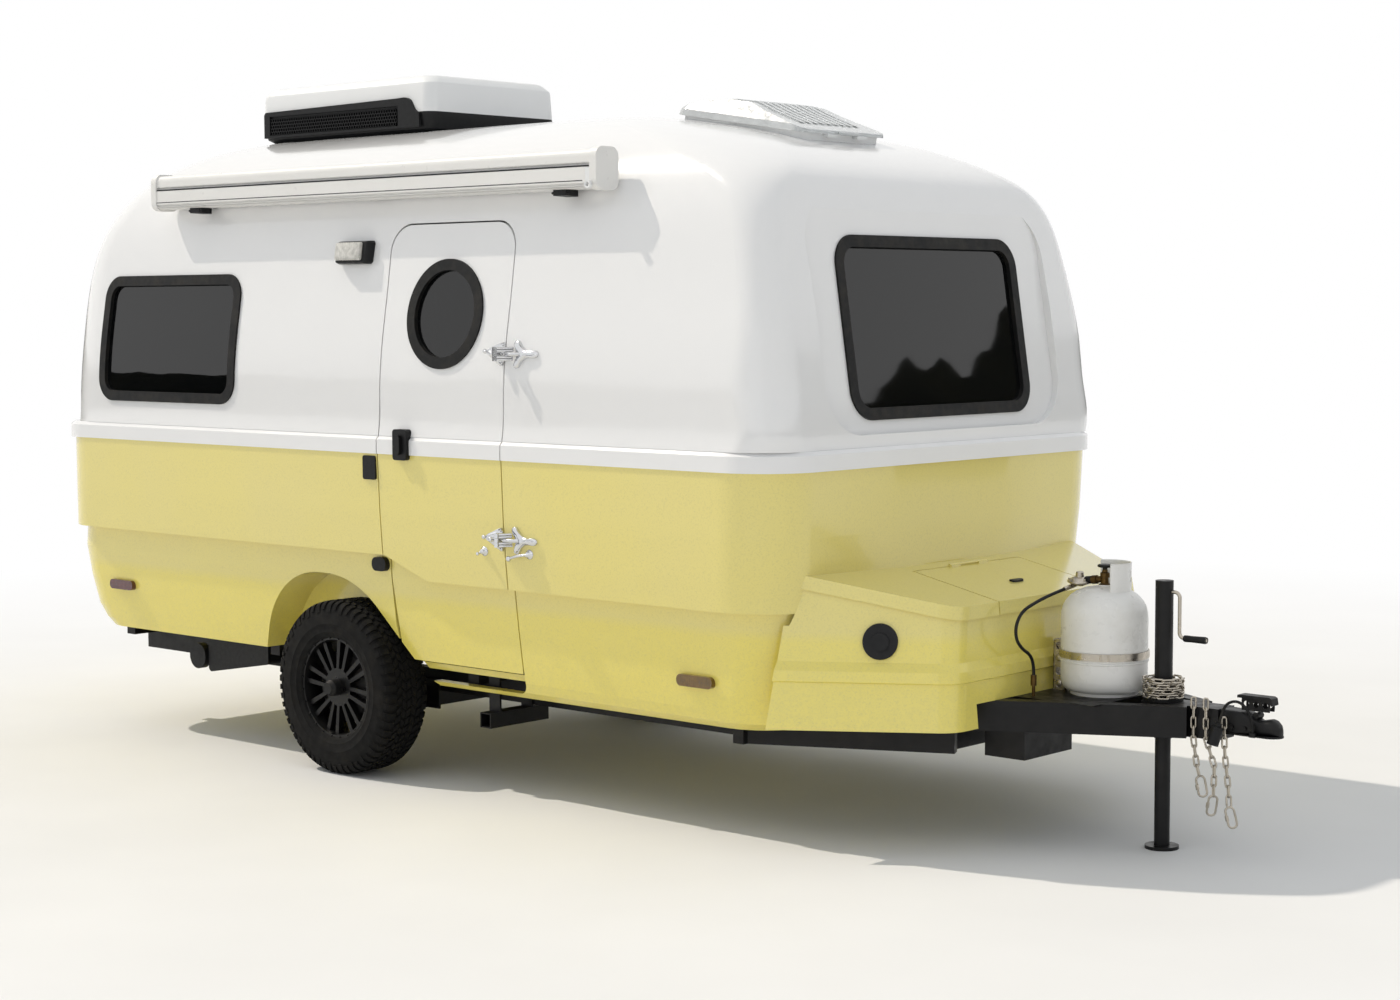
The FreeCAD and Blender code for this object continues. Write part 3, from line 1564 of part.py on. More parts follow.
def build_coupler():
    """Ball coupler: channel over the tongue head, round socket nose and latch."""
    start = d.tongue_head_front_x
    nose_radius = d.ball_radius + d.socket_wall
    nose_centre = V(d.front_reach - nose_radius, 0, d.coupler_bottom)
    channel = Part.makeBox(
        nose_centre.x - start, d.coupler_width, d.coupler_depth, V(start, -d.coupler_width / 2, d.coupler_bottom),
    )
    nose = cylinder(nose_radius, d.coupler_depth, nose_centre, AXIS["Z"])
    flare = Part.makeLoft([
        Part.makePolygon([
            V(x, -half, d.coupler_bottom), V(x, half, d.coupler_bottom),
            V(x, half, d.coupler_bottom + d.coupler_depth),
            V(x, -half, d.coupler_bottom + d.coupler_depth), V(x, -half, d.coupler_bottom),
        ])
        for x, half in (
            (nose_centre.x - nose_radius * 2, d.coupler_width / 2),
            (nose_centre.x, nose_radius),
        )
    ], True, True)
    channel = channel.cut(Part.makeBox(
        nose_radius * 2, d.coupler_width, d.coupler_depth,
        V(nose_centre.x - nose_radius * 2, -d.coupler_width / 2, d.coupler_bottom),
    ))
    socket_depth = d.coupler_depth - d.socket_wall
    socket = cylinder(d.ball_radius, socket_depth + d.overrun, nose_centre - V(0, 0, d.overrun), AXIS["Z"])
    hump = cylinder(
        d.socket_wall * 2, d.coupler_width / 2, V(nose_centre.x, -d.coupler_width / 4, d.coupler_bottom
        + d.coupler_depth - d.socket_wall / 2), AXIS["Y"],
    )
    top = d.coupler_bottom + d.coupler_depth
    lever_start = nose_centre.x - d.latch_length
    rise = d.latch_top - top
    lever = prism(
        [
            (lever_start + along * d.latch_length, top + up * rise, turn * d.latch_thickness)
            for along, up, turn in LEVER_SHARES
        ],
        "Y", -d.latch_width / 2, d.latch_width / 2,
    )
    posts = [
        Part.makeBox(
            d.latch_thickness, d.latch_width * 0.6, rise * 0.86,
            V(lever_start + d.latch_length * share, -d.latch_width * 0.3, top),
        )
        for share in (0.02, 0.36, 0.72)
    ]
    gland = Part.makeBox(
        d.gland_length, d.gland_width, d.gland_height,
        V(TOW_LEAD_POINTS[0][0] - d.gland_length / 2, TOW_LEAD_POINTS[0][1] - d.gland_width / 2,
          TOW_LEAD_POINTS[0][2] - d.gland_height),
    )
    body = fused([channel, flare, nose, hump, gland, lever] + posts).cut(socket)
    sub_part("coupler", drawn("coupler", body))


def build_jack():
    """Round tongue jack: outer tube with flange, inner leg with its foot, and the crank."""
    tube = bound(
        "Part::Cylinder", "jack_tube", ("jack_x", "0", "jack_tube_bottom"),
        Radius="jack_tube_radius - fit_gap", Height="jack_tube_top - jack_tube_bottom",
    )
    flange = bound(
        "Part::Cylinder", "jack_flange", ("jack_x", "0", "draw_beam_bottom + draw_beam_depth"),
        Radius="jack_flange_radius", Height="jack_flange_thickness",
    )
    bore = bound(
        "Part::Cylinder", "jack_bore", ("jack_x", "0", "jack_tube_bottom - overrun"),
        Radius="jack_tube_bore", Height="jack_tube_top - jack_cap_thickness - jack_tube_bottom + overrun",
    )
    sub_part("jack_post", less("jack_post", united("jack_outer", [tube, flange]), bore))
    leg = bound(
        "Part::Cylinder", "jack_inner", ("jack_x", "0", "0"),
        Radius="jack_leg_radius", Height="jack_leg_top",
    )
    foot = bound(
        "Part::Cylinder", "jack_foot", ("jack_x", "0", "0"),
        Radius="jack_foot_radius", Height="jack_foot_thickness",
    )
    sub_part("jack_leg", united("jack_leg", [leg, foot]))
    start = V(d.jack_x + d.jack_tube_radius, 0, d.crank_z)
    corner = V(d.jack_x + d.crank_reach, 0, d.crank_z)
    bottom = corner - V(0, 0, d.crank_drop)
    end = bottom + V(d.grip_length, 0, 0)
    bend = d.crank_bend_radius
    soft = bend * (1 - math.sqrt(0.5))
    path = Part.Wire([
        Part.makeLine(start, corner - V(bend, 0, 0)),
        Part.Arc(corner - V(bend, 0, 0), corner - V(soft, 0, soft), corner - V(0, 0, bend)).toShape(),
        Part.makeLine(corner - V(0, 0, bend), bottom + V(0, 0, bend)),
        Part.Arc(bottom + V(0, 0, bend), bottom + V(soft, 0, soft), bottom + V(bend, 0, 0)).toShape(),
        Part.makeLine(bottom + V(bend, 0, 0), end),
    ])
    ring = Part.Wire(Part.makeCircle(d.crank_rod_radius, start, AXIS["X"]))
    rod = path.makePipeShell([ring], True, False)
    grip = cylinder(d.grip_radius, d.grip_length - bend, bottom + V(bend, 0, 0), AXIS["X"])
    sub_part("jack_crank", drawn("jack_crank", rod.fuse(grip)))


# Gas cylinder


def build_gas():
    """Gas cylinder on its tray, the steel band with its perforated post, valve, regulator and hose."""
    base = d.draw_beam_bottom + d.draw_beam_depth
    shoulder = base + d.gas_foot_height + d.gas_shoulder_height
    bottom = base + d.gas_foot_height
    curve = d.gas_bottom_curve
    dome_top = shoulder + d.gas_dome_height
    neck = d.valve_radius * 2

    def on_arc(radius_x, radius_z, centre, degrees):
        angle = math.radians(degrees)
        return V(centre.x + radius_x * math.cos(angle), 0, centre.z + radius_z * math.sin(angle))

    centre_top = V(0, 0, shoulder)
    outline = Part.BSplineCurve()
    dome_points = [on_arc(d.gas_radius, d.gas_dome_height, centre_top, step) for step in (0, 22, 45, 65, 80)]
    outline.interpolate(dome_points)
    low_centre = V(0, 0, bottom + curve)
    low = Part.Arc(
        V(d.gas_foot_radius - d.gas_collar_wall, 0, bottom),
        V(d.gas_radius - curve * 0.2, 0, bottom + curve * 0.32),
        V(d.gas_radius, 0, low_centre.z),
    )
    edges = [
        Part.makeLine(V(0, 0, bottom), V(d.gas_foot_radius - d.gas_collar_wall, 0, bottom)),
        low.toShape(),
        Part.makeLine(V(d.gas_radius, 0, low_centre.z), V(d.gas_radius, 0, shoulder)),
        outline.toShape(),
        Part.makeLine(dome_points[-1], V(neck / 2, 0, dome_top)),
        Part.makeLine(V(neck / 2, 0, dome_top), V(0, 0, dome_top)),
        Part.makeLine(V(0, 0, dome_top), V(0, 0, bottom)),
    ]
    vessel = Part.Face(Part.Wire(edges)).revolve(V(0, 0, 0), AXIS["Z"], 360)
    foot = cylinder(d.gas_foot_radius, d.gas_foot_height + curve / 4, V(0, 0, base), AXIS["Z"])
    foot = foot.cut(cylinder(
        d.gas_foot_radius - d.gas_collar_wall, d.gas_foot_height, V(0, 0, base), AXIS["Z"]
    ))
    collar_z = dome_top - d.gas_dome_height / 4
    collar = cylinder(d.gas_collar_radius, d.gas_collar_height, V(0, 0, collar_z), AXIS["Z"])
    collar = collar.cut(cylinder(
        d.gas_collar_radius - d.gas_collar_wall, d.gas_collar_height, V(0, 0, collar_z), AXIS["Z"]
    ))
    gap = centred_box(
        d.gas_collar_radius * 2, d.gas_collar_opening, d.gas_collar_height * 2,
        V(-d.gas_collar_radius, 0, collar_z + d.gas_collar_height * 1.14),
    )
    cylinder_shape = fused([vessel, foot, collar.cut(gap)])
    cylinder_shape.translate(V(d.gas_x, 0, 0))
    sub_part("gas_cylinder", drawn("gas_cylinder", cylinder_shape))
    build_gas_holder(base)
    build_gas_valve(dome_top)


def build_gas_holder(base):
    centre = V(d.gas_x, 0, d.gas_band_z - d.gas_band_height / 2)
    outer = d.gas_radius + d.gas_band_thickness + d.fit_gap
    band = cylinder(outer, d.gas_band_height, centre, AXIS["Z"])
    band = band.cut(cylinder(d.gas_radius + d.fit_gap, d.gas_band_height, centre, AXIS["Z"]))
    post = Part.makeBox(
        d.gas_post_depth, d.gas_post_width, d.gas_post_height,
        V(d.gas_post_x - d.gas_post_depth / 2, -d.gas_post_width / 2, base),
    )
    hollow = Part.makeBox(
        d.gas_post_depth, d.gas_post_width - d.gas_post_wall * 2, d.gas_post_height,
        V(d.gas_post_x - d.gas_post_depth / 2 + d.gas_post_wall, d.gas_post_wall - d.gas_post_width / 2, base),
    )
    post = post.cut(hollow)
    pitch = d.gas_post_height / 4
    for step in range(4):
        height = base + pitch * (step + 0.5)
        post = post.cut(cylinder(
            d.gas_post_hole_radius, d.gas_post_depth * 2,
            V(d.gas_post_x - d.gas_post_depth, 0, height), AXIS["X"],
        ))
    tab = centred_box(
        d.gas_x - outer - d.gas_post_x + d.gas_band_height, d.gas_post_width, d.gas_band_height,
        V((d.gas_x - outer + d.gas_post_x + d.gas_post_wall * 3) / 2, 0, d.gas_band_z),
    )
    tab = tab.cut(cylinder(d.gas_radius + d.fit_gap, d.gas_band_height * 2,
                           centre - V(0, 0, d.gas_band_height / 2), AXIS["Z"]))
    sub_part("gas_bracket", drawn("gas_bracket", fused([post, tab, band])))


def build_gas_valve(dome_top):
    stem = cylinder(d.valve_radius, d.valve_height, V(d.gas_x, 0, dome_top), AXIS["Z"])
    wheel = cylinder(
        d.valve_wheel_radius, d.valve_wheel_thickness, V(d.gas_x, 0, dome_top + d.valve_height), AXIS["Z"]
    )
    outlet = cylinder(
        d.valve_radius * 0.7, d.gas_x - d.regulator_x, V(d.regulator_x, 0, d.regulator_z), AXIS["X"]
    )
    regulator = cylinder(
        d.regulator_radius, d.regulator_thickness,
        V(d.regulator_x, 0, d.regulator_z - d.regulator_thickness / 2), AXIS["Z"],
    )
    cap = cylinder(
        d.regulator_radius * 0.4, d.regulator_thickness, V(d.regulator_x, 0, d.regulator_z), AXIS["Z"]
    )
    lower = cylinder(
        d.regulator_radius * 0.48, d.regulator_thickness * 0.4,
        V(d.regulator_x, 0, d.regulator_z - d.regulator_thickness * 0.8), AXIS["Z"],
    )
    start, after_start = V(*GAS_HOSE_POINTS[0]), V(*GAS_HOSE_POINTS[1])
    back = (start - after_start).normalize()
    nipple = cylinder(d.hose_radius * 1.3, d.nipple_length, start, back)
    regulator_set = fused([stem, wheel, outlet, regulator, cap, lower, nipple])
    sub_part("gas_hose", drawn("gas_hose", cord("gas_hose", GAS_HOSE_POINTS, d.hose_radius)))
    end = V(*GAS_HOSE_POINTS[-1])
    tray_top = d.draw_beam_bottom + d.draw_beam_depth
    nut = cylinder(d.fitting_radius, d.fitting_length, end - V(0, 0, d.fitting_length), AXIS["Z"])
    stem_pipe = cylinder(
        d.fitting_radius * 0.6, end.z - d.fitting_length - tray_top, V(end.x, end.y, tray_top), AXIS["Z"]
    )
    sub_part("gas_fittings", drawn("gas_fittings", Part.makeCompound([regulator_set, nut.fuse(stem_pipe)])))


# Cords and chains


def cord(name, points, radius):
    """A round cord: straight runs joined by arcs tangent to both, along the given points."""
    knots = [V(*point) for point in points]
    edges = []
    radii = []
    last = knots[0]
    for before, knot, after in zip(knots, knots[1:], knots[2:]):
        run_in, run_out = knot - before, after - knot
        half_turn = run_in.getAngle(run_out) / 2
        cut_back = min(run_in.Length, run_out.Length) * 0.45
        radii.append(cut_back / math.tan(half_turn))
        direction_in, direction_out = V(run_in).normalize(), V(run_out).normalize()
        arc_start = knot - direction_in * cut_back
        arc_end = knot + direction_out * cut_back
        bisector = (direction_out - direction_in).normalize()
        centre = knot + bisector * (radii[-1] / math.cos(half_turn))
        edges.append(Part.makeLine(last, arc_start))
        edges.append(Part.Arc(arc_start, centre - bisector * radii[-1], arc_end).toShape())
        last = arc_end
    edges.append(Part.makeLine(last, knots[-1]))
    path = Part.Wire(edges)
    ring = Part.Wire(Part.makeCircle(radius, knots[0], knots[1] - knots[0]))
    tube = path.makePipeShell([ring], True, False)
    expected = math.pi * radius ** 2 * path.Length
    print("%s: length %.1f, volume share %.3f, least bend radius %.1f" % (
        name, path.Length, tube.Volume / expected, min(radii)))
    return tube


def chain_link(centre, along, face):
    """One stadium link of round wire: its length along one way, its width along another."""
    along, face = V(along).normalize(), V(face).normalize()
    half = (d.link_length - d.link_width) / 2
    turn = d.link_width / 2 - d.link_wire_radius

    def at(forward, aside):
        return centre + along * forward + face * aside

    path = Part.Wire([
        Part.makeLine(at(-half, turn), at(half, turn)),
        Part.Arc(at(half, turn), at(half + turn, 0), at(half, -turn)).toShape(),
        Part.makeLine(at(half, -turn), at(-half, -turn)),
        Part.Arc(at(-half, -turn), at(-half - turn, 0), at(-half, turn)).toShape(),
    ])
    ring = Part.Wire(Part.makeCircle(d.link_wire_radius, at(-half, turn), along))
    return path.makePipeShell([ring], True, False)


def chain_run(points, first=0):
    """Links at a regular pitch along straight runs, each turned a quarter against the one before."""
    knots = list(points)
    pitch = d.link_length - d.link_wire_radius * 4 - d.fit_gap
    lengths = [(b - a).Length for a, b in zip(knots, knots[1:])]
    total = sum(lengths)

    def along_run(distance):
        index = 0
        while index < len(lengths) - 1 and distance > lengths[index]:
            distance -= lengths[index]
            index += 1
        return knots[index] + (knots[index + 1] - knots[index]).normalize() * distance

    links = []
    for step in range(int(total / pitch)):
        start, end = along_run(step * pitch), along_run((step + 1) * pitch)
        run = (end - start).normalize()
        side = run.cross(AXIS["Y"]).normalize()
        other = run.cross(side)
        diagonal = (side + other) if (step + first) % 2 else (side - other)
        links.append(chain_link((start + end) / 2, run, diagonal))
    return links


def build_chains():
    """Safety chains: turns round the jack's post and strands hanging at the tongue head."""
    links = []
    around = int(d.wrap_links)
    for row in range(int(d.wrap_rows)):
        for step in range(around):
            angle = 2 * math.pi * (step + row * 0.5) / around
            out = V(math.cos(angle), math.sin(angle), 0)
            run = V(-math.sin(angle), math.cos(angle), 0)
            centre = V(d.jack_x, 0, d.wrap_bottom + d.wrap_pitch * row) + out * d.wrap_radius
            face = (out + AXIS["Z"]) if step % 2 else (out - AXIS["Z"])
            links.append(chain_link(centre, run, face))
    for strand in ("rear", "middle", "front"):
        links += chain_run([V(
            getattr(d, "%s_strand_%s_x" % (strand, level)),
            -getattr(d, "%s_strand_%s_y" % (strand, level)),
            getattr(d, "%s_strand_%s_z" % (strand, level)),
        ) for level in ("top", "rail", "free", "end")])
    sub_part("safety_chains", drawn("safety_chains", Part.makeCompound(links)))


def build_tow_lead():
    """Wiring lead of the tongue and the plug at its end."""
    sub_part("tow_lead", drawn("tow_lead", cord("tow_lead", TOW_LEAD_POINTS, d.lead_radius)))
    end, before = V(*TOW_LEAD_POINTS[-1]), V(*TOW_LEAD_POINTS[-2])
    along = (end - before).normalize()
    neck = cylinder(d.plug_radius * 0.57, d.plug_length * 0.2, end, along)
    body = cylinder(d.plug_radius, d.plug_length, end + along * d.plug_length * 0.2, along)
    sub_part("tow_plug", drawn("tow_plug", neck.fuse(body)))


# Nose box


def box_lid_height(x):
    """Height of the nose box's rim at a distance forward: it slopes down to the front."""
    share = (x - d.box_rear_x) / (d.box_front_top_x - d.box_rear_x)
    return d.box_rear_height + share * (d.box_front_height - d.box_rear_height)


def box_section(height, growth=0.0):
    """The nose box in plan at a height: a trapezoid that narrows forward and upward."""
    share = (height - d.box_bottom) / (d.box_rear_height - d.box_bottom)

    def between(low, high):
        return low + share * (high - low)

    rear_half = between(d.box_rear_half_bottom, d.box_rear_half_top) + growth
    front_half = between(d.box_front_half_bottom, d.box_front_half_top) + growth
    front = between(d.box_front_bottom_x, d.box_front_top_x) + growth
    radius = max(d.box_corner_radius + growth, d.box_wall)
    corners = [
        (d.box_rear_x, -rear_half, 0.0),
        (front, -front_half, radius),
        (front, front_half, radius),
        (d.box_rear_x, rear_half, 0.0),
    ]
    return rounded_wire(corners, lifter("Z", height))


def below_rim(offset, low=0.0):
    """Everything under a plane parallel to the sloping rim, offset above it."""
    rear_x = d.box_rear_x - d.overrun
    front_x = d.box_front_bottom_x + d.overrun
    points = [
        V(rear_x, -d.belt_half_width, low),
        V(front_x, -d.belt_half_width, low),
        V(front_x, -d.belt_half_width, box_lid_height(front_x) + offset),
        V(rear_x, -d.belt_half_width, box_lid_height(rear_x) + offset),
    ]
    return Part.Face(Part.makePolygon(points + [points[0]])).extrude(AXIS["Y"] * (d.belt_half_width * 2))


def build_nose_box():
    """Yellow storage box on the tongue, with side covers and a hinged centre lid."""
    top = d.box_rear_height + d.overrun
    skirt = Part.makeLoft(
        [box_section(d.box_bottom, d.box_crease_step), box_section(d.box_crease_height, d.box_crease_step)],
        True, True,
    )
    tub = Part.makeLoft([box_section(d.box_bottom), box_section(top)], True, True)
    floor = d.draw_beam_bottom + d.draw_beam_depth
    inner = Part.makeLoft(
        [box_section(d.box_bottom, -d.box_wall), box_section(top, -d.box_wall)], True, True
    )
    inner = inner.cut(Part.makeBox(
        d.box_wall, d.belt_half_width * 2, top, V(d.box_rear_x, -d.belt_half_width, 0)
    ))
    front_face = WAIST_SKIN.fuse(SKIRT_SKIN)
    floor_slab = Part.makeBox(
        d.waist_front, d.belt_half_width * 2, d.box_floor_thickness, V(d.box_rear_x, -d.belt_half_width, floor)
    )
    band = Part.makeLoft([
        box_section(d.box_crease_height - d.box_wall, -d.box_crease_step),
        box_section(d.box_crease_height, d.box_crease_step + d.box_band_bulge),
        box_section(d.box_crease_height + d.box_band_height * 0.5, d.box_crease_step + d.box_band_bulge),
        box_section(d.box_crease_height + d.box_band_height, -d.box_crease_step),
    ], True, True)
    outer = skirt.fuse([tub, band])
    shell = outer.cut(inner.cut(floor_slab)).common(below_rim(0.0))
    notch = Part.makeBox(
        d.waist_front, d.box_notch_half_width * 2, floor,
        V(d.box_rear_x + d.box_wall * 2, -d.box_notch_half_width, 0),
    )
    rear_notch = Part.makeBox(
        d.box_wall * 4, d.draw_beam_rear_y * 2 + d.box_wall * 2, floor,
        V(d.box_rear_x - d.box_wall, -d.draw_beam_rear_y - d.box_wall, 0),
    )
    shell = shell.cut(notch).cut(rear_notch).cut(front_face)
    cover = Part.makeLoft(
        [box_section(d.box_bottom, d.lid_overhang), box_section(top, d.lid_overhang)], True, True
    )
    cap = cover.common(below_rim(d.lid_thickness)).cut(below_rim(0.0))
    skirt_lip = cover.cut(Part.makeLoft(
        [
            box_section(d.box_bottom, d.lid_overhang - d.box_wall),
            box_section(top, d.lid_overhang - d.box_wall),
        ],
        True, True,
    )).common(below_rim(0.0)).cut(below_rim(-d.lid_lip))
    whole_lid = cap.fuse(skirt_lip)
    split = d.lid_half_width
    middle = Part.makeBox(d.waist_front, split * 2, top * 2, V(d.lid_hinge_x, -split, 0))
    gap_middle = Part.makeBox(
        d.waist_front, (split + d.lid_split_gap) * 2, top * 2,
        V(d.lid_hinge_x - d.lid_split_gap, -split - d.lid_split_gap, 0),
    )
    side_covers = whole_lid.cut(gap_middle).cut(front_face)
    lift = V(0, 0, d.fit_gap)
    lid = whole_lid.common(middle)
    lid.translate(lift)
    pin_z = box_lid_height(d.lid_hinge_x) + d.lid_thickness + d.lid_barrel_lift
    knuckle = d.lid_knuckle_length

    def lid_barrel(radius, start, end):
        return cylinder(radius, end - start, V(d.lid_hinge_x, start, pin_z), AXIS["Y"])

    lid_knuckles = lid_barrel(d.lid_barrel_radius, knuckle + d.fit_gap, knuckle * 2)
    web = Part.makeBox(
        d.lid_barrel_radius * 2, knuckle - d.fit_gap, d.lid_barrel_lift + d.lid_thickness / 2,
        V(d.lid_hinge_x, knuckle + d.fit_gap, pin_z - d.lid_barrel_lift - d.lid_thickness / 2),
    )
    lid = lid.fuse(both_sides(lid_knuckles.fuse(web)))
    pin = lid_barrel(d.lid_barrel_radius * 0.5, -knuckle * 2, knuckle * 2)
    lid = lid.cut(lid_barrel(d.lid_barrel_radius * 0.5 + d.fit_gap, -knuckle * 3, knuckle * 3))
    seat_block = Part.makeBox(
        d.lid_barrel_radius * 5, (knuckle - d.fit_gap) * 2, d.lid_barrel_radius + d.lid_barrel_lift,
        V(d.lid_hinge_x - d.lid_barrel_radius * 5, d.fit_gap - knuckle, pin_z - d.lid_barrel_radius
          - d.lid_barrel_lift),
    )
    side_covers = side_covers.fuse([
        seat_block, lid_barrel(d.lid_barrel_radius, d.fit_gap - knuckle, knuckle - d.fit_gap), pin,
    ])
    inner_edge = fused([shell, side_covers])
    sub_part("nose_box", drawn("nose_box", inner_edge))
    sub_part("nose_box_lid", drawn("nose_box_lid", lid))
    latch_z = box_lid_height(d.lid_latch_x) + d.lid_thickness + d.fit_gap
    latch = prism(
        rectangle(
            d.lid_latch_x - d.lid_latch_width / 2, d.lid_latch_x + d.lid_latch_width / 2,
            -d.lid_latch_length / 2, d.lid_latch_length / 2, d.lid_latch_width * 0.45,
        ),
        "Z", latch_z - d.overrun, latch_z + d.lid_latch_thickness,
    )
    rim_cut = below_rim(d.lid_thickness + d.fit_gap)
    sub_part("lid_latch", drawn("lid_latch", latch.cut(rim_cut).common(
        below_rim(d.lid_thickness + d.fit_gap + d.lid_latch_thickness))))
    build_port(outer)


def build_port(outer):
    """Round black cable port on the box's right side, square to the sloping wall."""
    along = V(d.box_front_bottom_x - d.box_rear_x, d.box_rear_half_bottom - d.box_front_half_bottom, 0)
    normal = V(along.y, -along.x, 0).normalize()
    centre_y = -(d.box_rear_half_bottom + d.box_rear_half_top + d.box_front_half_bottom
                 + d.box_front_half_top) / 4
    centre = V(d.port_x, centre_y, d.port_z)
    inside = centre - normal * d.port_radius * 3
    disc = cylinder(d.port_radius, d.port_radius * 6, inside, normal)
    shifted = outer.copy()
    shifted.translate(normal * d.port_depth)
    ring = disc.common(shifted).cut(outer)
    hub = cylinder(d.port_radius / 2, d.port_radius * 6, inside, normal)
    more = outer.copy()
    more.translate(normal * d.port_depth * 1.6)
    ring = ring.fuse(hub.common(more).cut(outer))
    sub_part("cable_port", drawn("cable_port", max(ring.Solids, key=lambda solid: solid.Volume)))


# Roof fittings


def build_roof():
    """Awning case, air conditioner and roof vent, each seated on the curved roof."""
    outer_y = -d.awning_outer_y
    profile = [
        (outer_y + inward * d.awning_depth, d.awning_bottom + up * d.awning_height, turn * d.awning_radius)
        for inward, up, turn in AWNING_SHARES
    ]
    case = prism(profile, "X", -d.awning_rear_x, d.awning_front_x)
    rise = d.awning_cap_rise
    cap_profile = rectangle(
        outer_y - rise, outer_y + d.awning_depth, d.awning_bottom - rise,
        d.awning_bottom + d.awning_height + rise, d.awning_radius + rise,
    )
    caps = [
        prism(cap_profile, "X", start, start + d.awning_cap_length)
        for start in (-d.awning_rear_x - d.awning_cap_length, d.awning_front_x)
    ]
    brackets = [
        Part.makeBox(
            d.awning_bracket_width, d.awning_bracket_depth, d.awning_bracket_height,
            V(start, outer_y + d.awning_depth / 2, d.awning_bottom + d.awning_radius),
        )
        for start in (
            -d.awning_rear_x + d.awning_bracket_inset,
            (d.awning_front_x - d.awning_rear_x) / 2,
            d.awning_front_x - d.awning_bracket_inset,
        )
    ]
    awning = fused([case] + caps + brackets).cut(UPPER_SKIN)
    sub_part("awning_case", drawn("awning_case", max(awning.Solids, key=lambda solid: solid.Volume)))
    build_air_conditioner()
    build_vent()


def build_air_conditioner():
    """Black base with a grille on each flank, and the white cover that the flanks rise into."""
    rear, front = -d.ac_rear_x, -d.ac_rear_x + d.ac_length
    half = d.ac_half_width
    base = Part.makeLoft([
        rounded_wire(
            rectangle(rear + inset, front - inset, inset - half, half - inset, d.ac_radius), lifter("Z", level)
        )
        for level, inset in (
            (d.ac_bottom, d.ac_chamfer),
            (d.ac_bottom + d.ac_chamfer, d.ac_chamfer / 4),
            (d.ac_split, 0.0),
        )
    ], True, True).cut(UPPER_SKIN)
    flank_outline = [
        (rear + d.ac_radius, d.ac_split, 0.0),
        (rear + d.ac_radius, d.ac_flank_top, 0.0),
        (-d.ac_flank_x, d.ac_flank_top, d.ac_flank_bend),
        (-d.ac_flank_x + d.ac_flank_fall * 0.6, d.ac_split + d.ac_flank_depth / 4, d.ac_flank_bend),
        (-d.ac_flank_x + d.ac_flank_fall, d.ac_split, 0.0),
    ]
    flank = prism(flank_outline, "Y", -half, -half + d.ac_flank_depth)
    base = base.fuse(both_sides(flank))
    pitch = (d.ac_length - d.ac_flank_x - d.ac_grille_end * 2 + front) / d.ac_grille_bars
    rows = [
        centred_box(
            pitch * 0.72, d.ac_grille_depth * 2, d.ac_grille_height / 4,
            V(
                rear + d.ac_radius + d.ac_grille_end + pitch * (step + 0.5), -half,
                d.ac_grille_bottom + d.ac_grille_height * (row + 0.5) / 3,
            ),
        )
        for step in range(int(d.ac_grille_bars)) for row in range(3)
    ]
    rows += [mirrored(row) for row in rows]
    base = base.cut(Part.makeCompound(rows))
    sub_part("ac_base", drawn("ac_base", max(base.Solids, key=lambda solid: solid.Volume)))
    taper = d.ac_taper
    sections = [
        rounded_wire(
            rectangle(rear + inset, front - inset, inset - half, half - inset, d.ac_radius), lifter("Z", level)
        )
        for level, inset in (
            (d.ac_split, 0.0),
            (d.ac_top - taper * 2.4, taper * 0.3),
            (d.ac_top - taper * 1.2, taper * 0.7),
            (d.ac_top - taper * 0.4, taper * 1.4),
            (d.ac_top, taper * 2.6),
        )
    ]
    cover = Part.makeLoft(sections, True, True).cut(Part.makeCompound(both_sides(
        prism(flank_outline, "Y", -half - d.overrun, -half + d.ac_flank_depth)
    )))
    sub_part("ac_cover", drawn("ac_cover", cover))


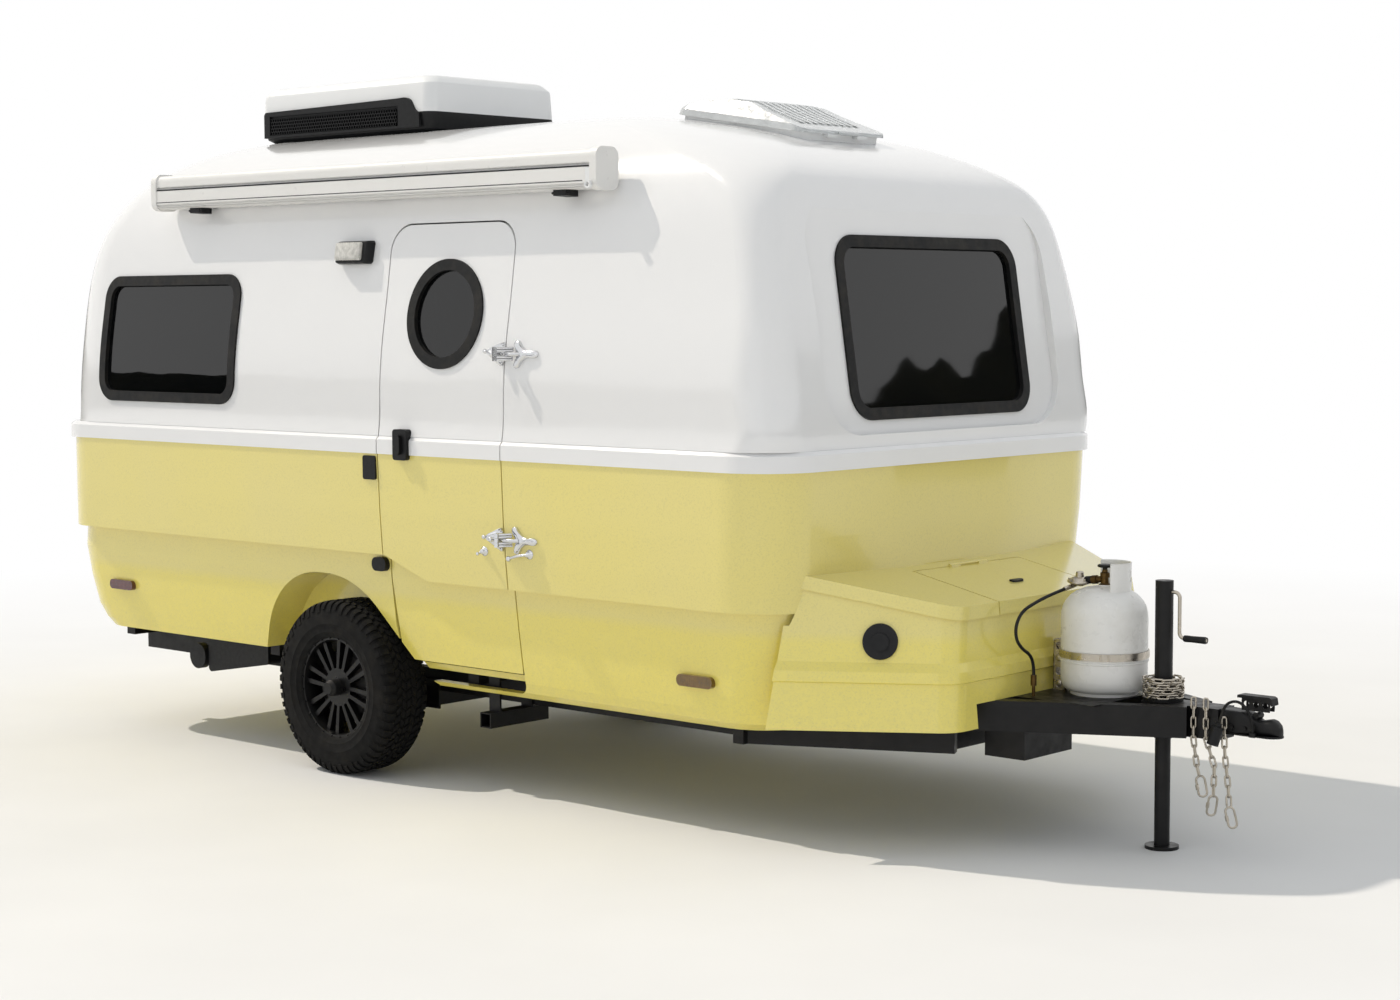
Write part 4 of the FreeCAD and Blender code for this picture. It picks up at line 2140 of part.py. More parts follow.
def build_vent():
    """Roof vent, tilted with the roof: a curbed flange and a ribbed hood that hinges at its front."""
    half_length, half_width = d.vent_length / 2, d.vent_width / 2
    middle = V(d.vent_x, 0, d.vent_seat)
    rear, front = d.vent_x - half_length, d.vent_x + half_length
    outline = rectangle(rear, front, -half_width, half_width, d.vent_radius)
    wall = d.vent_base_wall
    hole = rectangle(
        rear + wall, front - wall, wall - half_width, half_width - wall, d.vent_radius / 2
    )
    low = d.vent_seat - d.vent_base_depth
    base = prism(outline, "Z", low, d.vent_seat).cut(prism(hole, "Z", low, d.vent_seat))
    margin = d.vent_lid_margin
    seat = d.vent_seat + d.fit_gap
    pin_x = d.vent_x + half_length + margin + d.vent_barrel_radius + d.fit_gap * 4
    pin_z = d.vent_seat + d.vent_barrel_radius

    def barrel(radius, start, end):
        return cylinder(radius, end - start, V(pin_x, start, pin_z), AXIS["Y"])

    lug = d.vent_lug_length
    for side in (RIGHT, LEFT):
        start = min(side * lug, side * lug * 2)
        ear = Part.makeBox(
            pin_x - front + wall / 2, lug - d.fit_gap * 2, d.vent_barrel_radius * 2,
            V(front - wall / 2, start + d.fit_gap, d.vent_seat - d.vent_barrel_radius * 2),
        )
        base = base.fuse([ear, barrel(d.vent_barrel_radius, start + d.fit_gap, start + lug - d.fit_gap)])
    base = base.fuse(barrel(d.vent_pin_radius, -lug * 2, lug * 2))
    profile = [
        (d.vent_x + along * half_length * 2, seat + up * d.vent_lid_rise, turn * d.vent_radius)
        for along, up, turn in VENT_SHARES
    ]
    body = prism(profile, "Y", -half_width - margin, half_width + margin)

    def envelope(inset):
        return Part.makeLoft([
            rounded_wire(
                rectangle(
                    rear - margin + lean * margin + inset, front + margin - inset,
                    lean * margin - half_width - margin + inset,
                    half_width + margin - lean * margin - inset, d.vent_radius,
                ),
                lifter("Z", level),
            )
            for level, lean in (
                (seat, 0.0),
                (seat + d.vent_lid_rise * 0.3, 0.3),
                (seat + d.vent_lid_rise * 1.1, 2.8),
            )
        ], True, True)

    lid = body.common(envelope(0.0))
    ridge = prism(
        [(x, z + d.vent_rib_height, radius) for x, z, radius in profile], "Y", -half_width, half_width
    ).common(envelope(margin))
    rib_pitch = d.vent_width / 12
    ribs = [
        ridge.common(Part.makeBox(
            d.vent_length + margin * 2, rib_pitch * 0.55, d.vent_lid_rise * 2,
            V(rear - margin, rib_pitch * (step - 0.28), seat + d.vent_lid_rise * 0.4),
        ))
        for step in (-4, -3, -2, -1, 0, 1, 2, 3, 4)
    ]
    knuckle = barrel(d.vent_barrel_radius, -lug + d.fit_gap, lug - d.fit_gap)
    tongue = Part.makeBox(
        pin_x - front, (lug - d.fit_gap) * 2, d.vent_barrel_radius, V(front, -lug + d.fit_gap, seat)
    )
    lid = lid.fuse(ribs + [knuckle, tongue])
    lid = lid.cut(barrel(d.vent_pin_radius + d.fit_gap, -lug, lug))
    for shape in (base, lid):
        shape.rotate(middle, AXIS["Y"], d.vent_tilt_degrees)
    base = base.cut(UPPER_SKIN)
    sub_part("vent_base", drawn("vent_base", max(base.Solids, key=lambda solid: solid.Volume)))
    sub_part("vent_lid", drawn("vent_lid", max(lid.Solids, key=lambda solid: solid.Volume)))


# Lamps and plates


def side_fitting(x, z, length, height, rise, radius, side, inset=0.0):
    """A low block on the side wall, following the wall behind; inset where it sits under the step."""
    outer = side_reach(z) + rise - inset
    outline = rectangle(x - length / 2, x + length / 2, z - height / 2, z + height / 2, radius)
    shape = prism(outline, "Y", -outer, -outer + rise + d.wall)
    if z > d.belt_top:
        shape = shape.cut(UPPER_SKIN)
    elif inset > 0:
        shape = shape.cut(SKIRT_SKIN)
    else:
        shape = shape.cut(WAIST_SKIN).cut(SKIRT_SKIN)
    solid = max(shape.Solids, key=lambda item: item.Volume)
    return solid if side == RIGHT else mirrored(solid)


def build_lamps():
    lamp_radius = d.marker_rise / 2
    oval = d.marker_height * 0.46
    porch = side_fitting(
        d.porch_x, d.porch_z, d.porch_width, d.porch_height, d.porch_rise, lamp_radius, RIGHT
    )
    sub_part("porch_light", drawn("porch_light", porch))
    ambers = [
        side_fitting(
            d.amber_x, d.amber_z, d.marker_length, d.marker_height, d.marker_rise, oval, side
        )
        for side in (RIGHT, LEFT)
    ]
    sub_part("amber_markers", drawn("amber_markers", Part.makeCompound(ambers)))
    reds = [
        side_fitting(-d.red_x, d.red_z, d.marker_length, d.marker_height, d.marker_rise, oval, side)
        for side in (RIGHT, LEFT)
    ]
    half_width, half_height = d.tail_lamp_width / 2, d.tail_lamp_height / 2
    tail = prism(
        rectangle(
            -d.tail_lamp_y - half_width, -d.tail_lamp_y + half_width,
            d.tail_lamp_z - half_height, d.tail_lamp_z + half_height, d.marker_rise,
        ),
        "X", -d.waist_rear - d.tail_lamp_rise, -d.waist_rear + d.wall,
    ).cut(WAIST_SKIN).cut(SKIRT_SKIN)
    tail = max(tail.Solids, key=lambda item: item.Volume)
    sub_part("tail_lamps", drawn("tail_lamps", Part.makeCompound(reds + both_sides(tail))))
    plate = prism(
        rectangle(
            -d.plate_width / 2, d.plate_width / 2,
            d.plate_z - d.plate_height / 2, d.plate_z + d.plate_height / 2, lamp_radius,
        ),
        "X", -d.waist_rear - d.plate_thickness * 2, -d.waist_rear + d.wall,
    ).cut(WAIST_SKIN).cut(SKIRT_SKIN)
    plate = max(plate.Solids, key=lambda item: item.Volume)
    sub_part("plate_holder", drawn("plate_holder", plate))
    lock = side_fitting(
        d.lock_plate_x, d.lock_plate_z, d.lock_plate_width, d.lock_plate_height, d.lock_plate_rise,
        lamp_radius, RIGHT,
    )
    badge = side_fitting(
        d.badge_x, d.badge_z, d.badge_width, d.badge_height, d.badge_rise, d.badge_height * 0.45, RIGHT,
        d.badge_inset,
    )
    sub_part("side_plates", drawn("side_plates", Part.makeCompound([lock, badge])))


# Waste tank


def build_tank():
    """Black waste tank outboard of the right rail, with its drain and bayonet cap."""
    tank = prism(
        [
            (-d.tank_rear_x, d.tank_bottom, d.marker_rise),
            (-d.tank_front_x, d.tank_front_bottom, d.marker_rise),
            (-d.tank_front_x, d.pan_bottom, 0.0),
            (-d.tank_rear_x, d.pan_bottom, 0.0),
        ],
        "Y", -d.tank_outer_y, -d.tank_inner_y,
    )
    stub = cylinder(
        d.drain_radius * 0.8, d.drain_x - d.tank_rear_x + d.drain_radius,
        V(-d.drain_x, -d.tank_inner_y - d.drain_radius, d.drain_z), AXIS["X"],
    )
    pipe = cylinder(
        d.drain_radius, d.drain_outer_y - d.tank_inner_y, V(-d.drain_x, -d.drain_outer_y, d.drain_z), AXIS["Y"]
    )
    cap = cylinder(
        d.drain_cap_radius, d.drain_cap_length, V(-d.drain_x, -d.drain_outer_y, d.drain_z), AXIS["Y"]
    )
    sub_part("waste_tank", drawn("waste_tank", fused([tank, stub, pipe, cap])))


# Interior


def build_interior():
    """Floor, benches with cushions and the galley, as seen through the door and windows."""
    sub_part("floor_deck", block(
        "floor_deck", "floor_rear_x + floor_front_x", "floor_half_width * 2", "floor_thickness",
        ("-floor_rear_x", "-floor_half_width", "pan_bottom + pan_thickness"),
    ), x="-floor_rear_x", y="-floor_half_width", z="pan_bottom + pan_thickness")
    floor_z = d.pan_bottom + d.pan_thickness + d.floor_thickness
    for name, rear, front in (
        ("rear_bench", -d.rear_bench_rear_x, -d.rear_bench_front_x),
        ("front_bench", d.front_bench_rear_x, d.front_bench_front_x),
    ):
        half = d.bench_half_width
        board = d.bench_board
        shell = Part.makeBox(front - rear, half * 2, d.bench_height, V(rear, -half, floor_z))
        shell = shell.cut(Part.makeBox(
            front - rear - board * 2, (half - board) * 2, d.bench_height - board,
            V(rear + board, board - half, floor_z),
        ))
        sub_part(name, drawn(name, shell))
        seat = Part.makeBox(
            front - rear - board, (half - board) * 2, d.cushion_thickness,
            V(rear + board / 2, board - half, floor_z + d.bench_height + d.fit_gap),
        )
        seat = seat.makeFillet(d.cushion_radius, seat.Edges)
        sub_part(name + "_cushion", drawn(name + "_cushion", seat))
    depth, board = d.galley_depth, d.galley_plinth
    inner_y = d.galley_outer_y - depth
    cabinet = Part.makeBox(
        d.galley_front_x - d.galley_rear_x, depth, d.galley_height, V(d.galley_rear_x, inner_y, floor_z)
    )
    cabinet = cabinet.cut(Part.makeBox(
        d.galley_front_x - d.galley_rear_x - board * 2, depth - board * 2, d.galley_height - board * 2,
        V(d.galley_rear_x + board, inner_y + board, floor_z + board),
    ))
    worktop = Part.makeBox(
        d.galley_front_x - d.galley_rear_x + board * 2, depth + board, d.galley_top_thickness,
        V(d.galley_rear_x - board, inner_y - board, floor_z + d.galley_height),
    )
    sub_part("galley", drawn("galley", fused([cabinet, worktop])))


# Build and write

build_body()
build_hinges()
build_handle()
build_chassis()
build_axle()
build_wheels()
build_coupler()
build_jack()
build_gas()
build_chains()
build_tow_lead()
build_nose_box()
build_roof()
build_lamps()
build_tank()
build_interior()
doc.recompute()

faults = [item.Name for item in doc.Objects if "Invalid" in item.State or "Error" in item.State]
faults += [
    part.Label for part in sub_parts if part.Shape.isNull() or not part.Shape.isValid() or not part.Shape.Solids
]
if faults:
    raise RuntimeError("These objects failed: " + ", ".join(faults))
os.makedirs("parts", exist_ok=True)
for part in sub_parts:
    part.Shape.exportStep(os.path.join("parts", part.Label + ".step"))
print("%d sub-parts written" % len(sub_parts))
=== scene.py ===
"""Fibreglass travel caravan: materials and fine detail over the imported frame, metres, +Z up."""
import bmesh
import bpy
import json
import math
import random
from mathutils import Matrix, Vector
from mathutils.bvhtree import BVHTree


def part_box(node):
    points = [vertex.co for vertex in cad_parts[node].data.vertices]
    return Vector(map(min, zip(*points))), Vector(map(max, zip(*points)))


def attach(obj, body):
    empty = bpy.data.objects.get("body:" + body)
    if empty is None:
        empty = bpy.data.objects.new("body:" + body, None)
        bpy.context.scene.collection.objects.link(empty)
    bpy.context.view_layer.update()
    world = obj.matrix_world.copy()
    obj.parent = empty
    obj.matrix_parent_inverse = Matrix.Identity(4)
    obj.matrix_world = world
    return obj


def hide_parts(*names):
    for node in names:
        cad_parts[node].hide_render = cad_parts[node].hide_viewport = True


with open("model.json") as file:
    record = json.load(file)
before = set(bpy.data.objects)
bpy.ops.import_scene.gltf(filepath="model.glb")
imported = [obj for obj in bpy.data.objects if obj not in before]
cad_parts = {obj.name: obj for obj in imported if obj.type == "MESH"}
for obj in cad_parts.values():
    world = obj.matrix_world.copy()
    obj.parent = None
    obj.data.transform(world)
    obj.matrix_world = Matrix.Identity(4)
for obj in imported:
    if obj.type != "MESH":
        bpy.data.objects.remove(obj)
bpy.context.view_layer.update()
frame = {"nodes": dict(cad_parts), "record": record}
NODES = frame["nodes"]
AXLE_X = -0.880
CAMERA_FROM_AXLE = (7.7626, -7.4186, 1.9112)
CAMERA_TURNS = (41.906, 4.50, -0.223)
CAMERA_LENS, CAMERA_SENSOR = 62.66, 36.0
SKY_STRENGTH = 0.99
# Millimetres from the middle of the axle: wheel, hinge pin, gas bottle with its valve, and tray
WHEEL_Y, WHEEL_Z = 932.5, 360
PIN_X, PIN_Y = 1052, -1096
BOTTLE_X, VALVE_Z, TRAY_Z = 3050, 940, 529
AWNING_Y = -1036
EAST, UP, RIGHT = (1, 0, 0), (0, 0, 1), (0, -1, 0)


def linked(name, data):
    """A new object of the data, in the scene."""
    item = bpy.data.objects.new(name, data)
    bpy.context.collection.objects.link(item)
    return item


# Colours and shader nodes


def colour(text, alpha=1.0):
    """Linear colour from an sRGB hex string."""
    parts = [int(text[i:i + 2], 16) / 255 for i in (1, 3, 5)]
    return tuple(c / 12.92 if c <= 0.04045 else ((c + 0.055) / 1.055) ** 2.4 for c in parts) + (alpha,)


class Tree:
    """A material's node tree, with one small function that adds a node."""

    def __init__(self, name):
        self.material = bpy.data.materials.new(name)
        self.material.use_nodes = True
        self.nodes = self.material.node_tree.nodes
        self.links = self.material.node_tree.links
        self.shader = self.nodes["Principled BSDF"]
        self.place = self.add("ShaderNodeTexCoord").outputs["Object"]

    def add(self, kind, props=None, **inputs):
        node = self.nodes.new(kind)
        for key, value in (props or {}).items():
            setattr(node, key, value)
        for key, value in inputs.items():
            self.put(node, key.replace("_", " "), value)
        return node

    def put(self, node, key, value):
        socket = node.inputs[int(key[1:]) if key[0] == "i" and key[1:].isdigit() else key]
        if isinstance(value, bpy.types.NodeSocket):
            self.links.new(value, socket)
        else:
            socket.default_value = value

    def set(self, **values):
        for key, value in values.items():
            self.put(self.shader, key.replace("_", " "), value)

    def noise(self, scale, detail=3.0, rough=0.55, stretch=None, distortion=0.0):
        place = self.place
        if stretch:
            place = self.add("ShaderNodeMapping", Vector=place, Scale=stretch).outputs["Vector"]
        node = self.add(
            "ShaderNodeTexNoise", Vector=place, Scale=scale, Detail=detail, Roughness=rough,
            Distortion=distortion,
        )
        return node.outputs["Fac"]

    def ramp(self, value, low, high, start=0.0, end=1.0):
        """Value moved from low..high onto start..end, without going past either."""
        node = self.add("ShaderNodeMapRange", Value=value)
        for key, number in zip(("From Min", "From Max", "To Min", "To Max"), (low, high, start, end)):
            node.inputs[key].default_value = number
        return node.outputs["Result"]

    def mix(self, factor, first, second, blend="MIX"):
        node = self.add("ShaderNodeMix", {"data_type": "RGBA", "blend_type": blend})
        self.put(node, "i0", factor)
        self.put(node, "i6", first)
        self.put(node, "i7", second)
        return node.outputs[2]

    def math(self, operation, first, second=0.0):
        node = self.add("ShaderNodeMath", {"operation": operation})
        self.put(node, "i0", first)
        self.put(node, "i1", second)
        return node.outputs[0]

    def height(self):
        return self.add("ShaderNodeSeparateXYZ", Vector=self.place).outputs["Z"]

    def bump(self, height, distance, strength=1.0, onto=None):
        node = self.add("ShaderNodeBump", Height=height, Distance=distance, Strength=strength)
        if onto is not None:
            self.put(node, "Normal", onto)
        return node.outputs["Normal"]


def gelcoat(name, base, upper_tint, dirt="#B5AC74", grain=0.0, grit=0.2):
    """Gloss gelcoat: faint long waves of the mould, orange peel, paler above, dust near the sill."""
    tree = Tree(name)
    patch = tree.ramp(tree.noise(1.6, 3.0), 0.35, 0.7, 0.0, 0.25)
    # Above about 0.76 m the colour turns to the second, paler tint, by height alone.
    above = tree.ramp(tree.height(), 0.74, 0.78, 0.0, 0.75)
    tint = tree.mix(tree.math("ADD", patch, above), colour(base), colour(upper_tint))
    stipple = tree.noise(150.0, 4.0, 0.75)
    if grain:
        tint = tree.mix(tree.ramp(stipple, 0.5, 0.68, 0.0, grain), tint, colour(dirt))
    low = tree.ramp(tree.height(), 0.35, 0.85, grit, 0.0)
    speckle = tree.ramp(tree.noise(38.0, 5.0, 0.7), 0.42, 0.62)
    grime = tree.math("MULTIPLY", low, speckle)
    tree.set(
        Base_Color=tree.mix(grime, tint, colour(dirt)),
        Roughness=tree.ramp(tree.noise(2.2, 3.0), 0.3, 0.7, 0.16, 0.24),
        Coat_Weight=0.6,
        Coat_Roughness=0.05,
        IOR=1.5,
    )
    peel = tree.bump(stipple, 0.00022, 0.2 + grain)
    tree.set(Normal=tree.bump(tree.noise(1.1, 1.0, 0.3, stretch=(1.0, 1.0, 0.45)), 0.012, 0.16, peel))
    return tree.material


def painted_metal(name, base, rough=0.42, metallic=0.0, wear="#3A3836", amount=0.5, gloss=0.5):
    """Satin paint over steel with dusty patches and fine orange peel."""
    tree = Tree(name)
    patch = tree.ramp(tree.noise(7.0, 6.0, 0.7), 0.48, 0.72, 0.0, amount)
    tree.set(
        Base_Color=tree.mix(patch, colour(base), colour(wear)),
        Metallic=metallic,
        Specular_IOR_Level=gloss,
        Roughness=tree.ramp(tree.noise(24.0, 4.0), 0.3, 0.7, rough - 0.08, rough + 0.14),
    )
    tree.set(Normal=tree.bump(tree.noise(260.0, 3.0), 0.0003, 0.5))
    return tree.material


def moulded_plastic(name, base, rough=0.5, grain=900.0, worn="#6F7072", amount=0.2, gloss=0.5):
    """Moulded plastic with a fine spark-eroded grain."""
    tree = Tree(name)
    patch = tree.ramp(tree.noise(11.0, 5.0, 0.65), 0.5, 0.75, 0.0, amount)
    tree.set(
        Base_Color=tree.mix(patch, colour(base), colour(worn)),
        Roughness=tree.ramp(tree.noise(60.0, 3.0), 0.3, 0.7, rough - 0.06, rough + 0.1),
        Specular_IOR_Level=gloss,
        IOR=1.49,
    )
    tree.set(Normal=tree.bump(tree.noise(grain, 2.0), 0.00018, 0.6))
    return tree.material


def rubber(name, base, rough=0.62, dust=0.35, dusty="#6B6252"):
    """Black rubber, matte, greyed by dust."""
    tree = Tree(name)
    cloud = tree.ramp(tree.noise(14.0, 6.0, 0.7), 0.45, 0.75, 0.0, dust)
    tree.set(
        Base_Color=tree.mix(cloud, colour(base), colour(dusty)),
        Roughness=tree.ramp(tree.noise(30.0, 4.0), 0.3, 0.7, rough, rough + 0.18),
        Specular_IOR_Level=0.25,
    )
    tree.set(Normal=tree.bump(tree.noise(520.0, 3.0), 0.0003, 0.6))
    return tree.material


def bare_metal(name, base, rough=0.3, brushed=False, spots="#5B5750", amount=0.25):
    """Plated, polished or brushed metal with dull spots."""
    tree = Tree(name)
    spot = tree.ramp(tree.noise(60.0, 6.0, 0.75), 0.56, 0.72, 0.0, amount)
    grain = tree.noise(90.0, 3.0, stretch=(0.6, 0.6, 14.0)) if brushed else tree.noise(45.0, 4.0)
    tree.set(
        Base_Color=tree.mix(spot, colour(base), colour(spots)),
        Metallic=1.0,
        Roughness=tree.ramp(grain, 0.3, 0.7, rough * 0.7, rough * 1.4),
    )
    tree.set(Normal=tree.bump(grain, 0.0002, 0.35))
    return tree.material


def lens(name, base, ribs, rough=0.12):
    """Ribbed coloured lens of a lamp."""
    tree = Tree(name)
    depth = tree.ramp(tree.noise(50.0, 2.0), 0.3, 0.7, 0.0, 0.35)
    tree.set(
        Base_Color=tree.mix(depth, colour(base), colour("#1E0D06")),
        Roughness=tree.ramp(tree.noise(80.0, 2.0), 0.3, 0.7, rough, rough + 0.1),
        Transmission_Weight=0.25,
        Coat_Weight=0.6,
        IOR=1.49,
    )
    wave = tree.add("ShaderNodeTexWave", {"bands_direction": "X"}, Vector=tree.place, Scale=ribs)
    tree.set(Normal=tree.bump(wave.outputs["Fac"], 0.0012, 0.7))
    return tree.material


def dark_glass(name):
    """Smoked acrylic pane: nearly black, with faint waves and a light film of dust."""
    tree = Tree(name)
    film = tree.ramp(tree.noise(1.6, 3.0, 0.6), 0.4, 0.8, 0.0, 0.06)
    tree.set(
        Base_Color=tree.mix(film, colour("#060708"), colour("#2A2A27")),
        Roughness=tree.ramp(tree.noise(2.0, 3.0), 0.3, 0.7, 0.01, 0.03),
        Alpha=0.9,
        IOR=1.49,
        Specular_IOR_Level=0.6,
    )
    tree.set(Normal=tree.bump(tree.noise(1.6, 1.0), 0.002, 0.2))
    return tree.material


def smoke_plastic(name, base):
    """Clear milky plastic of the roof vent."""
    tree = Tree(name)
    cloud = tree.ramp(tree.noise(18.0, 4.0), 0.35, 0.7, 0.0, 0.4)
    tree.set(
        Base_Color=tree.mix(cloud, colour(base), colour("#B9BDBE")),
        Roughness=tree.ramp(tree.noise(40.0, 3.0), 0.3, 0.7, 0.12, 0.26),
        Transmission_Weight=0.4,
        Coat_Weight=0.3,
    )
    tree.set(Normal=tree.bump(tree.noise(300.0, 2.0), 0.0002, 0.4))
    return tree.material


def plywood(name, base, dark):
    """Birch-faced board with long grain."""
    tree = Tree(name)
    grain = tree.noise(5.0, 6.0, 0.6, stretch=(1.0, 1.0, 9.0), distortion=1.2)
    tree.set(
        Base_Color=tree.mix(tree.ramp(grain, 0.4, 0.65), colour(base), colour(dark)),
        Roughness=tree.ramp(grain, 0.3, 0.7, 0.38, 0.52),
    )
    tree.set(Normal=tree.bump(grain, 0.0004, 0.4))
    return tree.material


def woven(name, base, thread):
    """Plain woven upholstery cloth."""
    tree = Tree(name)
    waves = [
        tree.add(
            "ShaderNodeTexWave", {"bands_direction": axis}, Vector=tree.place, Scale=320.0
        ).outputs["Fac"]
        for axis in ("X", "Y")
    ]
    weave = tree.math("MULTIPLY", *waves)
    tree.set(
        Base_Color=tree.mix(tree.ramp(weave, 0.1, 0.8), colour(base), colour(thread)),
        Roughness=tree.ramp(tree.noise(30.0, 3.0), 0.3, 0.7, 0.82, 0.95),
        Sheen_Weight=0.3,
    )
    tree.set(Normal=tree.bump(weave, 0.0006, 0.8))
    return tree.material


def vinyl(name, base, dark):
    """Sheet floor printed with long planks."""
    tree = Tree(name)
    plank = tree.noise(4.0, 5.0, 0.6, stretch=(9.0, 1.0, 1.0), distortion=0.8)
    tree.set(
        Base_Color=tree.mix(tree.ramp(plank, 0.4, 0.65), colour(base), colour(dark)),
        Roughness=tree.ramp(plank, 0.3, 0.7, 0.35, 0.5),
    )
    tree.set(Normal=tree.bump(plank, 0.0003, 0.4))
    return tree.material


# One material for each real one on the caravan
MATERIALS = {
    # Bright white gelcoat of the upper body half
    "white_gelcoat": gelcoat("white_gelcoat", "#E6E6E6", "#E4E4E4"),
    # Pale lemon gelcoat of the lower half and the tongue box
    "yellow_gelcoat": gelcoat("yellow_gelcoat", "#E6D666", "#E0D27F", grain=0.3, grit=0.14),
    # Satin black chassis paint, dusty
    "black_steel": painted_metal("black_steel", "#08080A", 0.4, wear="#191714", gloss=0.3),
    # Window rubber and hoses
    "black_rubber": rubber("black_rubber", "#0E0F10", 0.45, dust=0.12),
    # Smoked window panes
    "tinted_glass": dark_glass("tinted_glass"),
    # White powder-coated awning extrusions
    "awning_aluminium": painted_metal("awning_aluminium", "#E2E1DE", 0.34, wear="#D9D7D1", amount=0.25),
    # White moulded covers on the roof
    "white_plastic": moulded_plastic("white_plastic", "#E3E4E4", 0.4, worn="#DCDDDD", amount=0.15),
    # Black moulded fittings
    "black_plastic": moulded_plastic("black_plastic", "#0C0D0F", 0.46, worn="#1C1C1C", gloss=0.3),
    "clear_smoke_plastic": smoke_plastic("clear_smoke_plastic", "#E4E7E8"),
    "tyre_rubber": rubber("tyre_rubber", "#0A0A0A", 0.8, dust=0.3, dusty="#2E2A23"),
    # Satin black cast wheel
    "black_alloy": painted_metal("black_alloy", "#070708", 0.34, wear="#1B1916", amount=0.3, gloss=0.35),
    # Gloss black centre caps and bolt heads
    "black_gloss": painted_metal("black_gloss", "#08090A", 0.14, metallic=0.2, wear="#15120F", amount=0.2),
    "cast_hub": painted_metal("cast_hub", "#151515", 0.55, metallic=0.4, wear="#3B2F28"),
    # Polished hinges
    "chrome_trim": bare_metal("chrome_trim", "#D5D6D8", 0.1, amount=0.1),
    # Gloss white cylinder paint
    "white_painted_steel": painted_metal("white_painted_steel", "#E4E3DF", 0.3, wear="#CFCCC4", amount=0.5),
    "brass_fitting": bare_metal("brass_fitting", "#5E4A2C", 0.45, spots="#33291D", amount=0.5),
    # Zinc-plated chain, crank and band
    "zinc_steel": bare_metal("zinc_steel", "#B9B2A6", 0.3, amount=0.4),
    "amber_lens": lens("amber_lens", "#7A5A12", 30.0),
    "red_lens": lens("red_lens", "#5E120F", 30.0),
    "clear_lens": lens("clear_lens", "#E9E7E0", 22.0),
    "vinyl_floor": vinyl("vinyl_floor", "#97876F", "#75664F"),
    "birch_panel": plywood("birch_panel", "#CDB289", "#B0905F"),
    "seat_fabric": woven("seat_fabric", "#8D8F90", "#6F7173"),
}
# The record's slot of each finish that only the scene has
for entry in frame["record"]["subparts"]:
    mesh_object = NODES[entry["node"]]
    mesh_object.data.materials.clear()
    mesh_object.data.materials.append(MATERIALS[entry["material_slot"]])


# Camera, light and floor


def turned_camera():
    """The photograph's view: azimuth, downward pitch and roll of a long lens."""
    azimuth, pitch, roll = (math.radians(turn) for turn in CAMERA_TURNS)
    ahead = Vector((
        -math.sin(azimuth) * math.cos(pitch), math.cos(azimuth) * math.cos(pitch), -math.sin(pitch)
    ))
    right = Vector((math.cos(azimuth), math.sin(azimuth), 0.0))
    up = right.cross(ahead)
    tilted = right * math.cos(roll) + up * math.sin(roll)
    raised = up * math.cos(roll) - right * math.sin(roll)
    turn = Matrix((tilted, raised, -ahead)).transposed().to_4x4()
    data = bpy.data.cameras.new("camera")
    data.sensor_width = CAMERA_SENSOR
    data.lens = CAMERA_LENS
    data.clip_end = 200.0
    camera = linked("camera", data)
    camera.matrix_world = Matrix.Translation(Vector(CAMERA_FROM_AXLE) + Vector((AXLE_X, 0, 0))) @ turn
    bpy.context.scene.camera = camera


def lamp(name, place, target, size, power):
    """Rectangular white lamp turned towards a point."""
    data = bpy.data.lights.new(name, "AREA")
    data.shape = "RECTANGLE"
    data.size, data.size_y = size
    data.energy = power
    item = linked(name, data)
    item.location = place
    item.rotation_mode = "QUATERNION"
    item.rotation_quaternion = (Vector(target) - Vector(place)).to_track_quat("-Z", "Y")


def hills():
    """Dark ridge far around the floor, seen only in reflections."""
    rng = random.Random(4)
    count = 1600
    reach, foot, lowest = 58, -0.5, 2.6
    waves = [(rng.uniform(0.5, 1.0), rng.randint(4, 420), rng.uniform(0, 6.28)) for _ in range(26)]
    verts = []
    for step in range(count):
        angle = 2 * math.pi * step / count
        rise = sum(size * math.sin(turns * angle + phase) / (1 + turns / 50) for size, turns, phase in waves)
        ahead = max(0.0, math.cos(angle - math.radians(48)))
        crest = 4.4 + 6.4 * ahead ** 6 + rise * 0.55 + rng.uniform(-0.09, 0.09)
        for height in (foot, max(lowest, crest)):
            verts.append((reach * math.cos(angle), reach * math.sin(angle), height))
    faces = [(2 * k, 2 * k + 1, (2 * k + 3) % (2 * count), (2 * k + 2) % (2 * count)) for k in range(count)]
    mesh = bpy.data.meshes.new("hills")
    mesh.from_pydata(verts, [], faces)
    tree = Tree("hill_woods")
    tree.set(
        Base_Color=tree.mix(tree.ramp(tree.noise(0.5, 6.0), 0.4, 0.6), colour("#14180F"), colour("#2C2B1B")),
        Roughness=tree.ramp(tree.noise(0.3), 0.3, 0.7, 0.85, 1.0),
    )
    mesh.materials.append(tree.material)
    item = linked("hills", mesh)
    for kind in ("camera", "diffuse", "transmission", "shadow", "volume_scatter"):
        setattr(item, "visible_" + kind, False)


